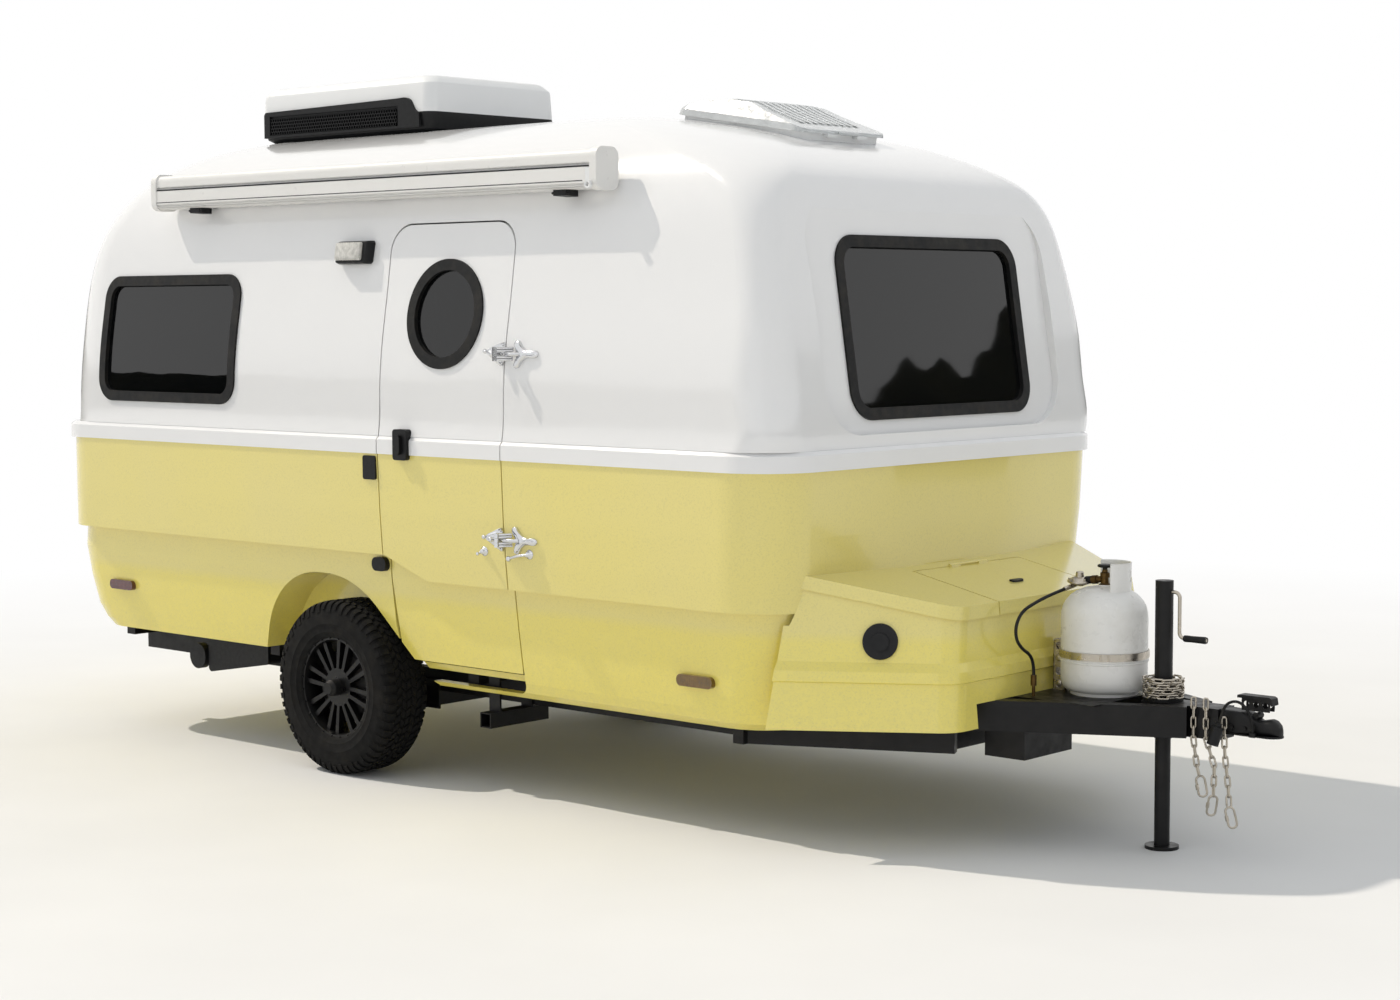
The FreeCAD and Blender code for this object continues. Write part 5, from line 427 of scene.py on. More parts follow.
def studio():
    """Cloudy sky that lights the object, white surroundings in view, pale floor, sun and fill lamp."""
    scene = bpy.context.scene
    scene.view_settings.view_transform = "Standard"
    world = bpy.data.worlds.new("studio")
    scene.world = world
    world.use_nodes = True
    nodes, links = world.node_tree.nodes, world.node_tree.links
    place_node = nodes.new("ShaderNodeTexCoord")
    split = nodes.new("ShaderNodeSeparateXYZ")
    links.new(place_node.outputs["Generated"], split.inputs[0])
    sky = nodes.new("ShaderNodeValToRGB")
    links.new(split.outputs["Z"], sky.inputs["Fac"])
    for element, (spot, tone) in zip(
        [sky.color_ramp.elements[0], sky.color_ramp.elements[1], sky.color_ramp.elements.new(0.28)],
        ((0.145, "#FFFFFF"), (1.0, "#75869A"), (0.28, "#9CA6B0")),
    ):
        element.position = spot
        element.color = colour(tone)
    background = nodes["Background"]
    clouds = nodes.new("ShaderNodeTexNoise")
    clouds.inputs["Scale"].default_value = 2.6
    clouds.inputs["Detail"].default_value = 6.0
    clouds.inputs["Distortion"].default_value = 0.6
    stretch = nodes.new("ShaderNodeMapping")
    stretch.inputs["Scale"].default_value = (1.0, 1.0, 4.0)
    links.new(place_node.outputs["Generated"], stretch.inputs["Vector"])
    links.new(stretch.outputs["Vector"], clouds.inputs["Vector"])
    veil = nodes.new("ShaderNodeMapRange")
    for key, number in (("From Min", 0.38), ("From Max", 0.62), ("To Min", 0.72), ("To Max", 1.22)):
        veil.inputs[key].default_value = number
    links.new(clouds.outputs["Fac"], veil.inputs["Value"])
    cloudy = nodes.new("ShaderNodeVectorMath")
    cloudy.operation = "SCALE"
    links.new(sky.outputs["Color"], cloudy.inputs[0])
    links.new(veil.outputs["Result"], cloudy.inputs["Scale"])
    links.new(cloudy.outputs["Vector"], background.inputs["Color"])
    background.inputs["Strength"].default_value = SKY_STRENGTH
    backdrop = nodes.new("ShaderNodeBackground")
    backdrop.inputs["Color"].default_value = colour("#FFFFFF")
    backdrop.inputs["Strength"].default_value = 1.0
    ray = nodes.new("ShaderNodeLightPath")
    looked_at = ray.outputs["Is Camera Ray"]
    for kind in ("Is Glossy Ray", "Is Transmission Ray"):
        either = nodes.new("ShaderNodeMath")
        either.operation = "MAXIMUM"
        links.new(looked_at, either.inputs[0])
        links.new(ray.outputs[kind], either.inputs[1])
        looked_at = either.outputs[0]
    seen = nodes.new("ShaderNodeMixShader")
    links.new(looked_at, seen.inputs[0])
    links.new(background.outputs[0], seen.inputs[1])
    links.new(backdrop.outputs[0], seen.inputs[2])
    links.new(seen.outputs[0], nodes["World Output"].inputs["Surface"])
    mesh = bpy.data.meshes.new("floor")
    reach = 60.0
    mesh.from_pydata(
        [(-reach, -reach, 0), (reach, -reach, 0), (reach, reach, 0), (-reach, reach, 0)], [], [(0, 1, 2, 3)]
    )
    floor = linked("floor", mesh)
    tree = Tree("studio_floor")
    tree.set(
        Base_Color=tree.mix(tree.ramp(tree.noise(0.6), 0.3, 0.7), colour("#DDDDDC"), colour("#E3E3E2")),
        Roughness=tree.ramp(tree.noise(3.0), 0.3, 0.7, 0.75, 0.9),
    )
    away = tree.add("ShaderNodeVectorMath", {"operation": "LENGTH"}, i0=tree.place).outputs["Value"]
    path = tree.add("ShaderNodeLightPath").outputs
    through = tree.math("MAXIMUM", path["Is Glossy Ray"], path["Is Transmission Ray"])
    looked_at = tree.math("MAXIMUM", path["Is Camera Ray"], through)
    glow = tree.add("ShaderNodeEmission", Color=colour("#FFFFFF"), Strength=1.0)
    whole = tree.add("ShaderNodeMixShader")
    tree.put(whole, "i0", tree.math("MULTIPLY", looked_at, tree.ramp(away, 3.6, 9.0)))
    tree.links.new(tree.shader.outputs[0], whole.inputs[1])
    tree.links.new(glow.outputs[0], whole.inputs[2])
    tree.links.new(whole.outputs[0], tree.nodes["Material Output"].inputs["Surface"])
    mesh.materials.append(tree.material)
    hills()
    sun_data = bpy.data.lights.new("sun", "SUN")
    sun_data.energy = 2.2
    sun_data.angle = math.radians(0.9)
    sun_data.color = colour("#FFF6E8")[:3]
    sun = linked("sun", sun_data)
    sun.rotation_mode = "QUATERNION"
    sun.rotation_quaternion = Vector((3.7, 1.25, -4.5)).to_track_quat("-Z", "Y")
    lamp("fill", (4.0, -9.0, 3.0), (0.5, 0.0, 1.1), (6.0, 4.0), 28.0)


turned_camera()
studio()


# Shapes


def place(x, y, z):
    """A point in the frame's metres from millimetres about the middle of the axle."""
    return Vector((x / 1000 + AXLE_X, y / 1000, z / 1000))


def piece(name, verts, faces, slot, body, hides=(), sharp=32.0):
    """A mesh piece with its material, riding on a body, in place of the nodes that it hides."""
    mesh = bpy.data.meshes.new(name)
    mesh.from_pydata([tuple(v) for v in verts], [], faces)
    work = bmesh.new()
    work.from_mesh(mesh)
    bmesh.ops.recalc_face_normals(work, faces=work.faces)
    work.to_mesh(mesh)
    work.free()
    mesh.shade_smooth()
    mesh.set_sharp_from_angle(angle=math.radians(sharp))
    item = linked(name, mesh)
    mesh.materials.append(MATERIALS[slot])
    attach(item, body)
    for node in hides:
        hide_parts(node)
    return item


class Shape:
    """Vertices and faces that grow as simple forms are added, in frame metres."""

    def __init__(self):
        self.verts = []
        self.faces = []

    def rings(self, rings, closed=False, caps=True):
        """Skin over rings of equal length; closed joins the last one to the first."""
        count = len(rings[0])
        base = len(self.verts)
        for ring in rings:
            self.verts.extend(ring)
        total = len(rings)
        for i in range(total if closed else total - 1):
            a, b = base + i * count, base + ((i + 1) % total) * count
            for j in range(count):
                k = (j + 1) % count
                self.faces.append((a + j, a + k, b + k, b + j))
        if caps and not closed:
            self.faces.append(tuple(base + j for j in reversed(range(count))))
            last = base + (total - 1) * count
            self.faces.append(tuple(last + j for j in range(count)))
        return self

    def lathe(self, profile, centre, axis, segments=48):
        """Closed profile of (radius, along) in millimetres turned about an axis through a centre."""
        axis = Vector(axis).normalized()
        side = axis.orthogonal().normalized()
        up = axis.cross(side)
        rings = []
        for step in range(segments):
            angle = 2 * math.pi * step / segments
            out = side * math.cos(angle) + up * math.sin(angle)
            rings.append([centre + out * (r / 1000) + axis * (t / 1000) for r, t in profile])
        base = len(self.verts)
        count = len(profile)
        for ring in rings:
            self.verts.extend(ring)
        for i in range(segments):
            a, b = base + i * count, base + ((i + 1) % segments) * count
            for j in range(count):
                k = (j + 1) % count
                self.faces.append((a + j, a + k, b + k, b + j))
        return self

    def tube(self, points, radius, sides=10):
        """Round bar through points, with flat ends; radius in millimetres."""
        points = [Vector(p) for p in points]
        rings = []
        normal = None
        for i, point in enumerate(points):
            ahead = (points[min(i + 1, len(points) - 1)] - points[max(i - 1, 0)]).normalized()
            if normal is None:
                normal = ahead.orthogonal().normalized()
            normal = (normal - ahead * normal.dot(ahead)).normalized()
            other = ahead.cross(normal)
            ring = []
            for j in range(sides):
                angle = 2 * math.pi * j / sides
                ring.append(point + (normal * math.cos(angle) + other * math.sin(angle)) * (radius / 1000))
            rings.append(ring)
        return self.rings(rings)

    def ball(self, centre, radius, rows=10, columns=16):
        """Ball with small flat poles; radius in millimetres."""
        rings = []
        for i in range(rows + 1):
            angle = math.pi * max(min(i / rows, 0.985), 0.015)
            rings.append([
                centre + Vector((
                    math.sin(angle) * math.cos(2 * math.pi * j / columns),
                    math.sin(angle) * math.sin(2 * math.pi * j / columns),
                    math.cos(angle),
                )) * (radius / 1000)
                for j in range(columns)
            ])
        return self.rings(rings)

    def slab(self, outline, to_point, levels):
        """Stack of outlines: levels are (depth, inset), the outline shrinks towards its middle."""
        mid_a = sum(p[0] for p in outline) / len(outline)
        mid_b = sum(p[1] for p in outline) / len(outline)
        rings = []
        for depth, inset in levels:
            ring = []
            for a, b in outline:
                reach = math.hypot(a - mid_a, b - mid_b)
                share = max(0.0, 1 - inset / reach)
                ring.append(to_point(mid_a + (a - mid_a) * share, mid_b + (b - mid_b) * share, depth))
            rings.append(ring)
        return self.rings(rings)


def rounded(low_a, high_a, low_b, high_b, radius, steps=5):
    """Rounded rectangle as a closed list of points."""
    points = []
    for mid_a, mid_b, start in (
        (high_a - radius, high_b - radius, 0), (low_a + radius, high_b - radius, 90),
        (low_a + radius, low_b + radius, 180), (high_a - radius, low_b + radius, 270),
    ):
        for step in range(steps + 1):
            angle = math.radians(start + 90 * step / steps)
            points.append((mid_a + radius * math.cos(angle), mid_b + radius * math.sin(angle)))
    return points


def smooth_loop(points, steps=5):
    """Closed curve through points, as a list of points."""
    result = []
    count = len(points)
    for i in range(count):
        p0, p1, p2, p3 = (Vector(points[(i + k) % count]) for k in (-1, 0, 1, 2))
        for step in range(steps):
            t = step / steps
            result.append(tuple(
                0.5 * (
                    2 * b + (c - a) * t + (2 * a - 5 * b + 4 * c - e) * t * t
                    + (3 * b - a - 3 * c + e) * t * t * t
                )
                for a, b, c, e in zip(p0, p1, p2, p3)
            ))
    return result


def skin_tree(*names):
    """Ray tree over CAD nodes, to seat pieces on the curved wall."""
    verts = []
    faces = []
    for name in names:
        mesh = NODES[name].data
        base = len(verts)
        verts.extend(v.co.copy() for v in mesh.vertices)
        faces.extend(tuple(base + k for k in p.vertices) for p in mesh.polygons)
    return BVHTree.FromPolygons(verts, faces)


RIGHT_WALL = skin_tree("upper_shell", "door_upper", "lower_shell", "door_lower")


def wall_y(x, z):
    """The right wall's y in millimetres at a place, found by a ray from outside."""
    start = place(x, -1600, z)
    hit, _, _, _ = RIGHT_WALL.ray_cast(start, Vector((0, 1, 0)), 1.2)
    return hit.y * 1000 if hit is not None else -1000.0


def on_wall(x, z, out):
    """A point that stands out from the right wall by a distance."""
    return place(x, wall_y(x, z) - out, z)


# Cords


def cord_piece(name, points, radius, node, body, slot):
    """A free cord as one smooth spline with a round section."""
    curve = bpy.data.curves.new(name, "CURVE")
    curve.dimensions = "3D"
    curve.bevel_depth = radius / 1000
    curve.bevel_resolution = 4
    curve.resolution_u = 12
    curve.use_fill_caps = True
    spline = curve.splines.new("NURBS")
    spline.points.add(len(points) - 1)
    for knot, point in zip(spline.points, points):
        knot.co = tuple(place(*point)) + (1.0,)
    spline.order_u = 3
    spline.use_endpoint_u = True
    item = linked(name, curve)
    curve.materials.append(MATERIALS[slot])
    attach(item, body)
    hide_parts(node)
    return item


GAS_HOSE_POINTS = (
    (2925.0, -58.0, 902.0), (2913.0, -140.0, 886.0), (2905.0, -235.0, 862.0), (2901.0, -300.0, 840.0),
    (2900.0, -338.0, 797.0), (2898.0, -334.0, 743.0), (2899.0, -296.0, 705.0), (2900.0, -246.0, 679.0),
    (2900.0, -225.0, 640.0), (2900.0, -225.0, 605.0),
)
TOW_LEAD_POINTS = (
    (3676.0, -52.0, 462.0), (3676.0, -52.0, 500.0), (3656.0, -54.0, 543.0), (3622.0, -59.0, 568.0),
    (3583.0, -66.0, 556.0), (3571.0, -74.0, 520.0), (3563.0, -80.0, 486.0),
)
cord_piece("gas_hose_line", GAS_HOSE_POINTS, 6.0, "gas_hose", "caravan", "black_rubber")
cord_piece("tow_lead_line", TOW_LEAD_POINTS, 5.0, "tow_lead", "caravan", "black_rubber")


# Wheels


def tyre(side, node, body):
    """All-terrain tyre: carcass, staggered tread blocks and lugs that wrap the shoulder."""
    centre = place(0, side * WHEEL_Y, WHEEL_Z)
    half = [
        (205, 90), (212, 99), (226, 104), (232, 108), (238, 107), (262, 111), (266, 112.4), (270, 111.4),
        (300, 110.6), (318, 108), (334, 103), (344, 96), (350, 86), (351.5, 60),
    ]
    profile = half + [(351.5, 0)] + [(r, -t) for r, t in reversed(half)]
    shape = Shape().lathe(profile, centre, (0, 1, 0), 96)

    def lug(angle, width, corners, skew=0.0):
        rings = []
        for share in (-0.5, 0.5):
            ring = []
            for radius, offset in corners:
                turn = angle + width * share + skew * offset
                ring.append(centre + Vector((
                    math.cos(turn) * radius, offset, math.sin(turn) * radius
                )) / 1000)
            rings.append(ring)
        shape.rings(rings)

    pitches = 58
    pitch = 2 * math.pi / pitches
    for step in range(pitches):
        base = step * pitch
        for row, (low, high, shift, width, skew) in enumerate((
            (-13, 9, 0.0, 0.74, 0.0016), (12, 37, 0.5, 0.66, -0.0018), (-37, -16, 0.45, 0.66, -0.0018),
            (41, 64, 0.1, 0.62, 0.0016), (-64, -40, 0.15, 0.62, 0.0016),
        )):
            lug(
                base + shift * pitch, pitch * width,
                [(349, low), (359.8, low + 1), (359.8, high - 1), (349, high)], skew,
            )
        for mirror in (1, -1):
            long = step % 2 == 0
            lug(
                base + (0.3 if mirror > 0 else 0.8) * pitch, pitch * (0.62 if long else 0.54),
                [(347, 68 * mirror), (359.6, 68 * mirror), (357.5, 88 * mirror), (349, 101 * mirror),
                 (338, 107 * mirror), (335, 102 * mirror)],
            )
            lug(
                base + (0.3 if mirror > 0 else 0.8) * pitch, pitch * (0.62 if long else 0.46),
                [(340, 98 * mirror), (341, 106.5 * mirror), (316 if long else 327, 111.6 * mirror),
                 (314 if long else 325, 107 * mirror)],
            )
    return piece("tread_" + node, shape.verts, shape.faces, "tyre_rubber", body, [node], sharp=28.0)


tyre(-1, "tyre_right", "wheel_right")
tyre(1, "tyre_left", "wheel_left")


def wheel_trim(side, name, body):
    """Domed centre cap, six bolts in their wells and a ring of 24 small round heads near the rim."""
    centre = place(0, side * WHEEL_Y, WHEEL_Z)
    axis = Vector((0, side, 0))
    cap = Shape().lathe(
        [(0.5, 92), (12, 91), (22, 88), (29, 82), (32.5, 74), (34.5, 62), (36, 60), (36, 52), (0.5, 52)],
        centre, axis, 40,
    )
    for step in range(6):
        angle = 2 * math.pi * (step + 0.25) / 6
        spot = centre + Vector((math.cos(angle) * 0.058, 0, math.sin(angle) * 0.058))
        cap.lathe([(0.5, 70), (6, 69), (9, 66), (9.5, 48), (0.5, 48)], spot, axis, 6)
    for step in range(24):
        angle = 2 * math.pi * (step + 0.5) / 24
        spot = centre + Vector((math.cos(angle) * 0.206, 0, math.sin(angle) * 0.206))
        cap.lathe([(0.3, 96.5), (3.2, 96), (4.2, 94), (4.2, 88), (0.3, 88)], spot, axis, 6)
    piece(name, cap.verts, cap.faces, "black_gloss", body)


wheel_trim(-1, "wheel_caps_right", "wheel_right")
wheel_trim(1, "wheel_caps_left", "wheel_left")


# Door furniture


def wall_casting(shape, outline, levels, tip=None):
    """Casting on the wall: rings of an outline that shrink and move towards a tip as they stand out."""
    loop = smooth_loop(outline, 4)
    mid_x = sum(p[0] for p in loop) / len(loop)
    mid_z = sum(p[1] for p in loop) / len(loop)
    tip_x, tip_z = tip or (mid_x, mid_z)
    rings = []
    for out, size, move in levels:
        ring = []
        for x, z in loop:
            spot_x = mid_x + (x - mid_x) * size + (tip_x - mid_x) * move
            spot_z = mid_z + (z - mid_z) * size + (tip_z - mid_z) * move
            ring.append(on_wall(spot_x, spot_z, out))
        rings.append(ring)
    shape.rings(rings)


def screw(shape, x, z, out, radius=6.0):
    """Low round screw head facing out of the right wall."""
    shape.lathe(
        [(0.3, radius * 0.5), (radius * 0.6, radius * 0.4), (radius, 0.2), (radius, -4), (0.3, -4)],
        on_wall(x, z, out), (0, -1, 0), 14,
    )


HINGE_LOBES = (
    (-6, 30), (-8, 44), (2, 52), (16, 50), (26, 38), (38, 25), (58, 16), (84, 13), (104, 14), (118, 8),
    (120, -4), (110, -14), (90, -15), (62, -17), (42, -26), (30, -40), (20, -52), (6, -54), (-4, -46),
    (0, -30), (8, -14), (9, 0), (4, 15),
)
FAN = (
    (22, 44), (30, 30), (31, 0), (29, -30), (22, -46), (10, -44), (0, -30), (-10, -12), (-12, 4), (-6, 20),
    (8, 38),
)


def hinge(height, body_shape, door_shape):
    """Cast hinge: a three-lobed plate with an arm over the gap, and a fan on the door with a ball tip."""
    x0 = 1098
    wall_casting(
        body_shape, [(x0 + dx, height + dz) for dx, dz in HINGE_LOBES],
        [(-3, 1.0, 0), (7, 1.0, 0), (12, 0.93, 0), (16, 0.74, 0), (20, 0.42, 0.05)],
    )
    for dx, dz in ((4, 42), (6, -44), (106, 0)):
        screw(body_shape, x0 + dx, height + dz, 12)
    arm = [
        on_wall(x0 + 34, height - 1, 12), on_wall(x0 + 6, height - 1, 24), on_wall(x0 - 26, height, 34),
        on_wall(x0 - 60, height, 40), on_wall(x0 - 92, height, 42),
    ]
    body_shape.tube(arm, 8.0, 12)
    body_shape.ball(arm[-1], 10.0)
    wall_casting(
        door_shape, [(1008 + dx, height + dz) for dx, dz in FAN],
        [(-3, 1.0, 0), (8, 1.0, 0), (18, 0.82, 0.25), (30, 0.56, 0.6), (42, 0.34, 0.9), (50, 0.2, 1.0)],
        (990, height + 8),
    )
    for dz in (34, -36):
        screw(door_shape, 1030, height + dz, 10, 5.0)
    door_shape.ball(on_wall(980, height + 10, 52), 9.0)
    pin = place(PIN_X, PIN_Y, height)
    for shape, low, high in ((body_shape, -26, -9), (door_shape, -8, 8), (body_shape, 9, 26)):
        shape.lathe([(0.4, low), (9, low), (9, high), (0.4, high)], pin, (0, 0, 1), 18)
    for shape, x, low, high in (
        (body_shape, 1086, -22, -12), (door_shape, 1026, -5, 5), (body_shape, 1086, 12, 22),
    ):
        for dz in (low, high):
            shape.tube([place(PIN_X, PIN_Y, height + dz), on_wall(x, height + dz, 6)], 5.0, 8)


def knob(shape, x, z):
    """Round rosette with a domed boss."""
    shape.lathe(
        [(0.4, 22), (6, 21), (10, 17), (12, 9), (15, 7), (18.5, 4), (19.5, 0), (19.5, -5), (0.4, -5)],
        on_wall(x, z, 0), (0, -1, 0), 28,
    )


body_chrome, door_chrome = Shape(), Shape()
for level in (1742.0, 1037.0):
    hinge(level, body_chrome, door_chrome)
knob(door_chrome, 924, 984)
door_chrome.ball(on_wall(916, 976, 30), 7.5)
door_chrome.tube([on_wall(924, 984, 12), on_wall(916, 976, 30)], 5.0)
knob(body_chrome, 1172, 987)
body_chrome.tube([on_wall(1172, 987, 16), on_wall(1130, 980, 30), on_wall(1092, 969, 34)], 5.5, 12)
body_chrome.ball(on_wall(1090, 968, 34), 11.0)
piece("hinge_castings_body", body_chrome.verts, body_chrome.faces, "chrome_trim", "caravan",
      ["door_hinge_plates"], sharp=50.0)
piece("hinge_castings_door", door_chrome.verts, door_chrome.faces, "chrome_trim", "door",
      ["door_hinge_leaves"], sharp=50.0)


def porch_light():
    """Black wedge housing with a clear lens over a bright reflector."""
    housing, glass, bright = Shape(), Shape(), Shape()
    outline = [
        (20, 2100), (34, 2094), (208, 2094), (219, 2102), (223, 2178), (214, 2187), (30, 2187), (19, 2180),
    ]
    housing.slab(outline, on_wall, [(-3, 0), (20, 0), (36, 7), (40, 12)])
    glass.slab(rounded(34, 190, 2108, 2182, 9), on_wall, [(34, 0), (48, 1), (54, 5), (56, 10)])
    bright.slab(rounded(38, 186, 2112, 2178, 8), on_wall, [(36, 0), (41, 0), (41.5, 4)])
    for x in (76, 148):
        bright.lathe(
            [(0.4, 3), (9, 3.5), (13, 8), (15, 8), (15, 0), (0.4, 0)], on_wall(x, 2144, 41), (0, -1, 0), 20
        )
    piece("porch_housing", housing.verts, housing.faces, "black_plastic", "caravan", ["porch_light"])
    piece("porch_reflector", bright.verts, bright.faces, "chrome_trim", "caravan", ["porch_light"])
    piece("porch_lens", glass.verts, glass.faces, "clear_lens", "caravan", ["porch_light"])


porch_light()


def crank_grip():
    """Black sleeve over the end of the jack's crank."""
    low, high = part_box("jack_crank")
    middle = Vector((0, (low[1] + high[1]) / 2, low[2] + 0.011))
    grip = Shape().lathe(
        [(6, -0.5), (11.4, 0.5), (12.2, 6), (11.6, 30), (12.2, 60), (12.6, 82), (11, 88.5), (6, 89)],
        Vector((high[0] - 0.0885, middle.y, middle.z)), (1, 0, 0), 24,
    )
    piece("crank_grip", grip.verts, grip.faces, "black_plastic", "caravan")


crank_grip()


def window_sash(side, name):
    """Dark inner frame, sliding sash bar and light catches behind the side window's pane."""
    tree = skin_tree("right_window_glass" if side < 0 else "left_window_glass")

    def behind(x, z, depth):
        hit, _, _, _ = tree.ray_cast(place(x, side * 1600, z), Vector((0, -side, 0)), 1.2)
        y = hit.y * 1000 if hit is not None else side * 1020
        return place(x, y - side * (7 + depth), z)

    frame_shape, catches = Shape(), Shape()
    for low_x, high_x, low_z, high_z in ((-1548, -658, 1600, 1616), (-1110, -1094, 1554, 1604)):
        frame_shape.slab(rounded(low_x, high_x, low_z, high_z, 5, 2), behind, [(0, 0), (10, 0)])
    for x in (-1330, -900):
        catches.slab(rounded(x - 32, x + 32, 1572, 1584, 5, 3), behind, [(0, 0), (8, 0)])
    for x in (-1500, -705):
        catches.slab(rounded(x - 9, x + 9, 1566, 1590, 5, 3), behind, [(0, 0), (8, 0)])
    piece(name + "_sash", frame_shape.verts, frame_shape.faces, "black_plastic", "caravan")
    piece(name + "_catches", catches.verts, catches.faces, "white_plastic", "caravan")


window_sash(-1, "right_window")
window_sash(1, "left_window")


# Gas bottle, coupler and roof


def holed_plate(shape, corner, along, up, out, cell, rows, radius, thickness):
    """Flat plate of one round hole a cell; corner is a place, the ways are unit vectors."""
    width, height = cell
    steps = 24
    for row in range(rows[1]):
        for column in range(rows[0]):
            middle = corner + along * (width * (column + 0.5) / 1000) + up * (height * (row + 0.5) / 1000)
            loops = []
            for depth in (0.0, thickness):
                outer, inner = [], []
                for step in range(steps):
                    angle = 2 * math.pi * (step + 0.5) / steps
                    a, b = math.cos(angle), math.sin(angle)
                    reach = min(width / 2 / max(abs(a), 1e-6), height / 2 / max(abs(b), 1e-6))
                    spot = middle - out * (depth / 1000)
                    outer.append(spot + (along * a + up * b) * (reach / 1000))
                    inner.append(spot + (along * a + up * b) * (radius / 1000))
                loops += [outer, inner]
            shape.rings([loops[0], loops[1], loops[3], loops[2]], closed=True)


def block_at(shape, low, high):
    """Box between two places given in millimetres."""
    (x0, y0, z0), (x1, y1, z1) = low, high
    shape.rings([
        [place(x0, y0, z), place(x1, y0, z), place(x1, y1, z), place(x0, y1, z)] for z in (z0, z1)
    ])


def gas_set():
    """Bottle with its open collar, valve, regulator, holed holder and band."""
    centre = place(BOTTLE_X, 0, 0)
    outlet_way, cap_way = (-1, 0, -0.12), (0.06, -0.08, 1)
    bottle = Shape().lathe(
        [(0.5, 545), (114, 545), (116, 529), (120, 529), (121, 540), (134, 544), (146, 554), (152, 568),
         (155, 588), (155, 620), (155, 646), (157.5, 648), (158, 651), (157.5, 654), (155, 656), (155, 800),
         (153.5, 822), (148, 844), (138, 863), (122, 882), (100, 897), (72, 908), (40, 914), (24, 916),
         (22, 920), (0.5, 921)],
        centre, UP, 72,
    )
    for start, end, low, high in (
        (-46, 14, 886, 1002), (14, 38, 886, 934), (14, 38, 972, 1002), (38, 132, 886, 1002),
    ):
        rings = []
        steps = max(3, (end - start) // 6)
        for step in range(steps + 1):
            angle = math.radians(start + (end - start) * step / steps)
            out = Vector((math.cos(angle), math.sin(angle), 0))
            rings.append([
                centre + out * (r / 1000) + Vector((0, 0, z / 1000))
                for r, z in ((90, low), (94, low), (94, high - 3), (96, high - 1), (93, high), (90, high - 3))
            ])
        bottle.rings(rings)
    piece("gas_bottle", bottle.verts, bottle.faces, "white_painted_steel", "caravan", ["gas_cylinder"])
    brass = Shape().lathe(
        [(0.5, 914), (22, 914), (22, 922), (14, 925), (13, 944), (17, 946), (17, 962), (11, 965), (9, 974),
         (0.5, 974)],
        centre, UP, 24,
    )
    brass.lathe(
        [(0.5, 10), (12, 10), (12, 30), (16, 32), (16, 52), (9, 54), (9, 66), (0.5, 66)],
        place(BOTTLE_X, 0, VALVE_Z), outlet_way, 12,
    )
    brass.lathe(
        [(0.5, TRAY_Z), (6, TRAY_Z), (6, 566), (11, 567), (11, 605), (0.5, 605)], place(2900, -225, 0), UP, 12
    )
    piece("gas_valve", brass.verts, brass.faces, "brass_fitting", "caravan", ["gas_fittings"])
    wheel = Shape().lathe(
        [(0.5, 974), (8, 974), (9, 982), (22, 982), (27, 985), (27, 990), (22, 993), (8, 992), (0.5, 993)],
        centre, UP, 20,
    )
    wheel.lathe(
        [(0.5, 54), (13, 54), (14, 58), (14, 78), (12, 82), (0.5, 82)],
        place(BOTTLE_X, 0, VALVE_Z), outlet_way, 20,
    )
    piece("gas_handwheel", wheel.verts, wheel.faces, "black_plastic", "caravan")
    regulator = Shape().lathe(
        [(0.5, -17), (16, -17), (22, -13), (40, -7), (45, -3), (45, 1), (40, 5), (26, 12), (16, 16), (15, 20),
         (14, 32), (11, 34), (0.5, 34)],
        place(2944, 0, 926), cap_way, 40,
    )
    for step in range(6):
        angle = 2 * math.pi * (step + 0.5) / 6
        spot = place(2944 + 38 * math.cos(angle), 38 * math.sin(angle), 928)
        regulator.lathe([(0.4, -8), (4, -8), (4, 8), (0.4, 8)], spot, cap_way, 6)
    start = Vector(place(*GAS_HOSE_POINTS[0]))
    back = (start - Vector(place(*GAS_HOSE_POINTS[1]))).normalized()
    regulator.tube([start - back * 0.012, start + back * 0.052], 8.2, 12)
    piece("gas_regulator", regulator.verts, regulator.faces, "zinc_steel", "caravan", ["gas_fittings"])
    holder = Shape()
    ways = [Vector(way) for way in (EAST, UP, RIGHT)]
    holed_plate(holder, place(2864, -45, TRAY_Z), *ways, (46, 46), (1, 4), 14.5, 3.0)
    block_at(holder, (2864, -45, TRAY_Z), (2867, 45, 713))
    block_at(holder, (2907, -42, TRAY_Z), (2910, -24, 713))
    for height in (575, 667):
        spot = place(2887, -45, height - 23)
        holder.lathe([(0.4, 3), (7, 3), (12, 1), (12, -4), (0.4, -4)], spot, RIGHT, 20)
    holder.lathe([(156.5, 663), (160.5, 663), (161.2, 676), (160.5, 689), (156.5, 689)], centre, UP, 72)
    block_at(holder, (2866, -36, 664), (2901, 36, 688))
    for angle in (-62, -52):
        turn = math.radians(angle)
        spot = centre + Vector((math.cos(turn) * 0.161, math.sin(turn) * 0.161, 0.676))
        holder.tube([spot - Vector((0, 0, 0.011)), spot + Vector((0, 0, 0.011))], 3.2, 8)
    piece("gas_holder", holder.verts, holder.faces, "zinc_steel", "caravan", ["gas_bracket"])


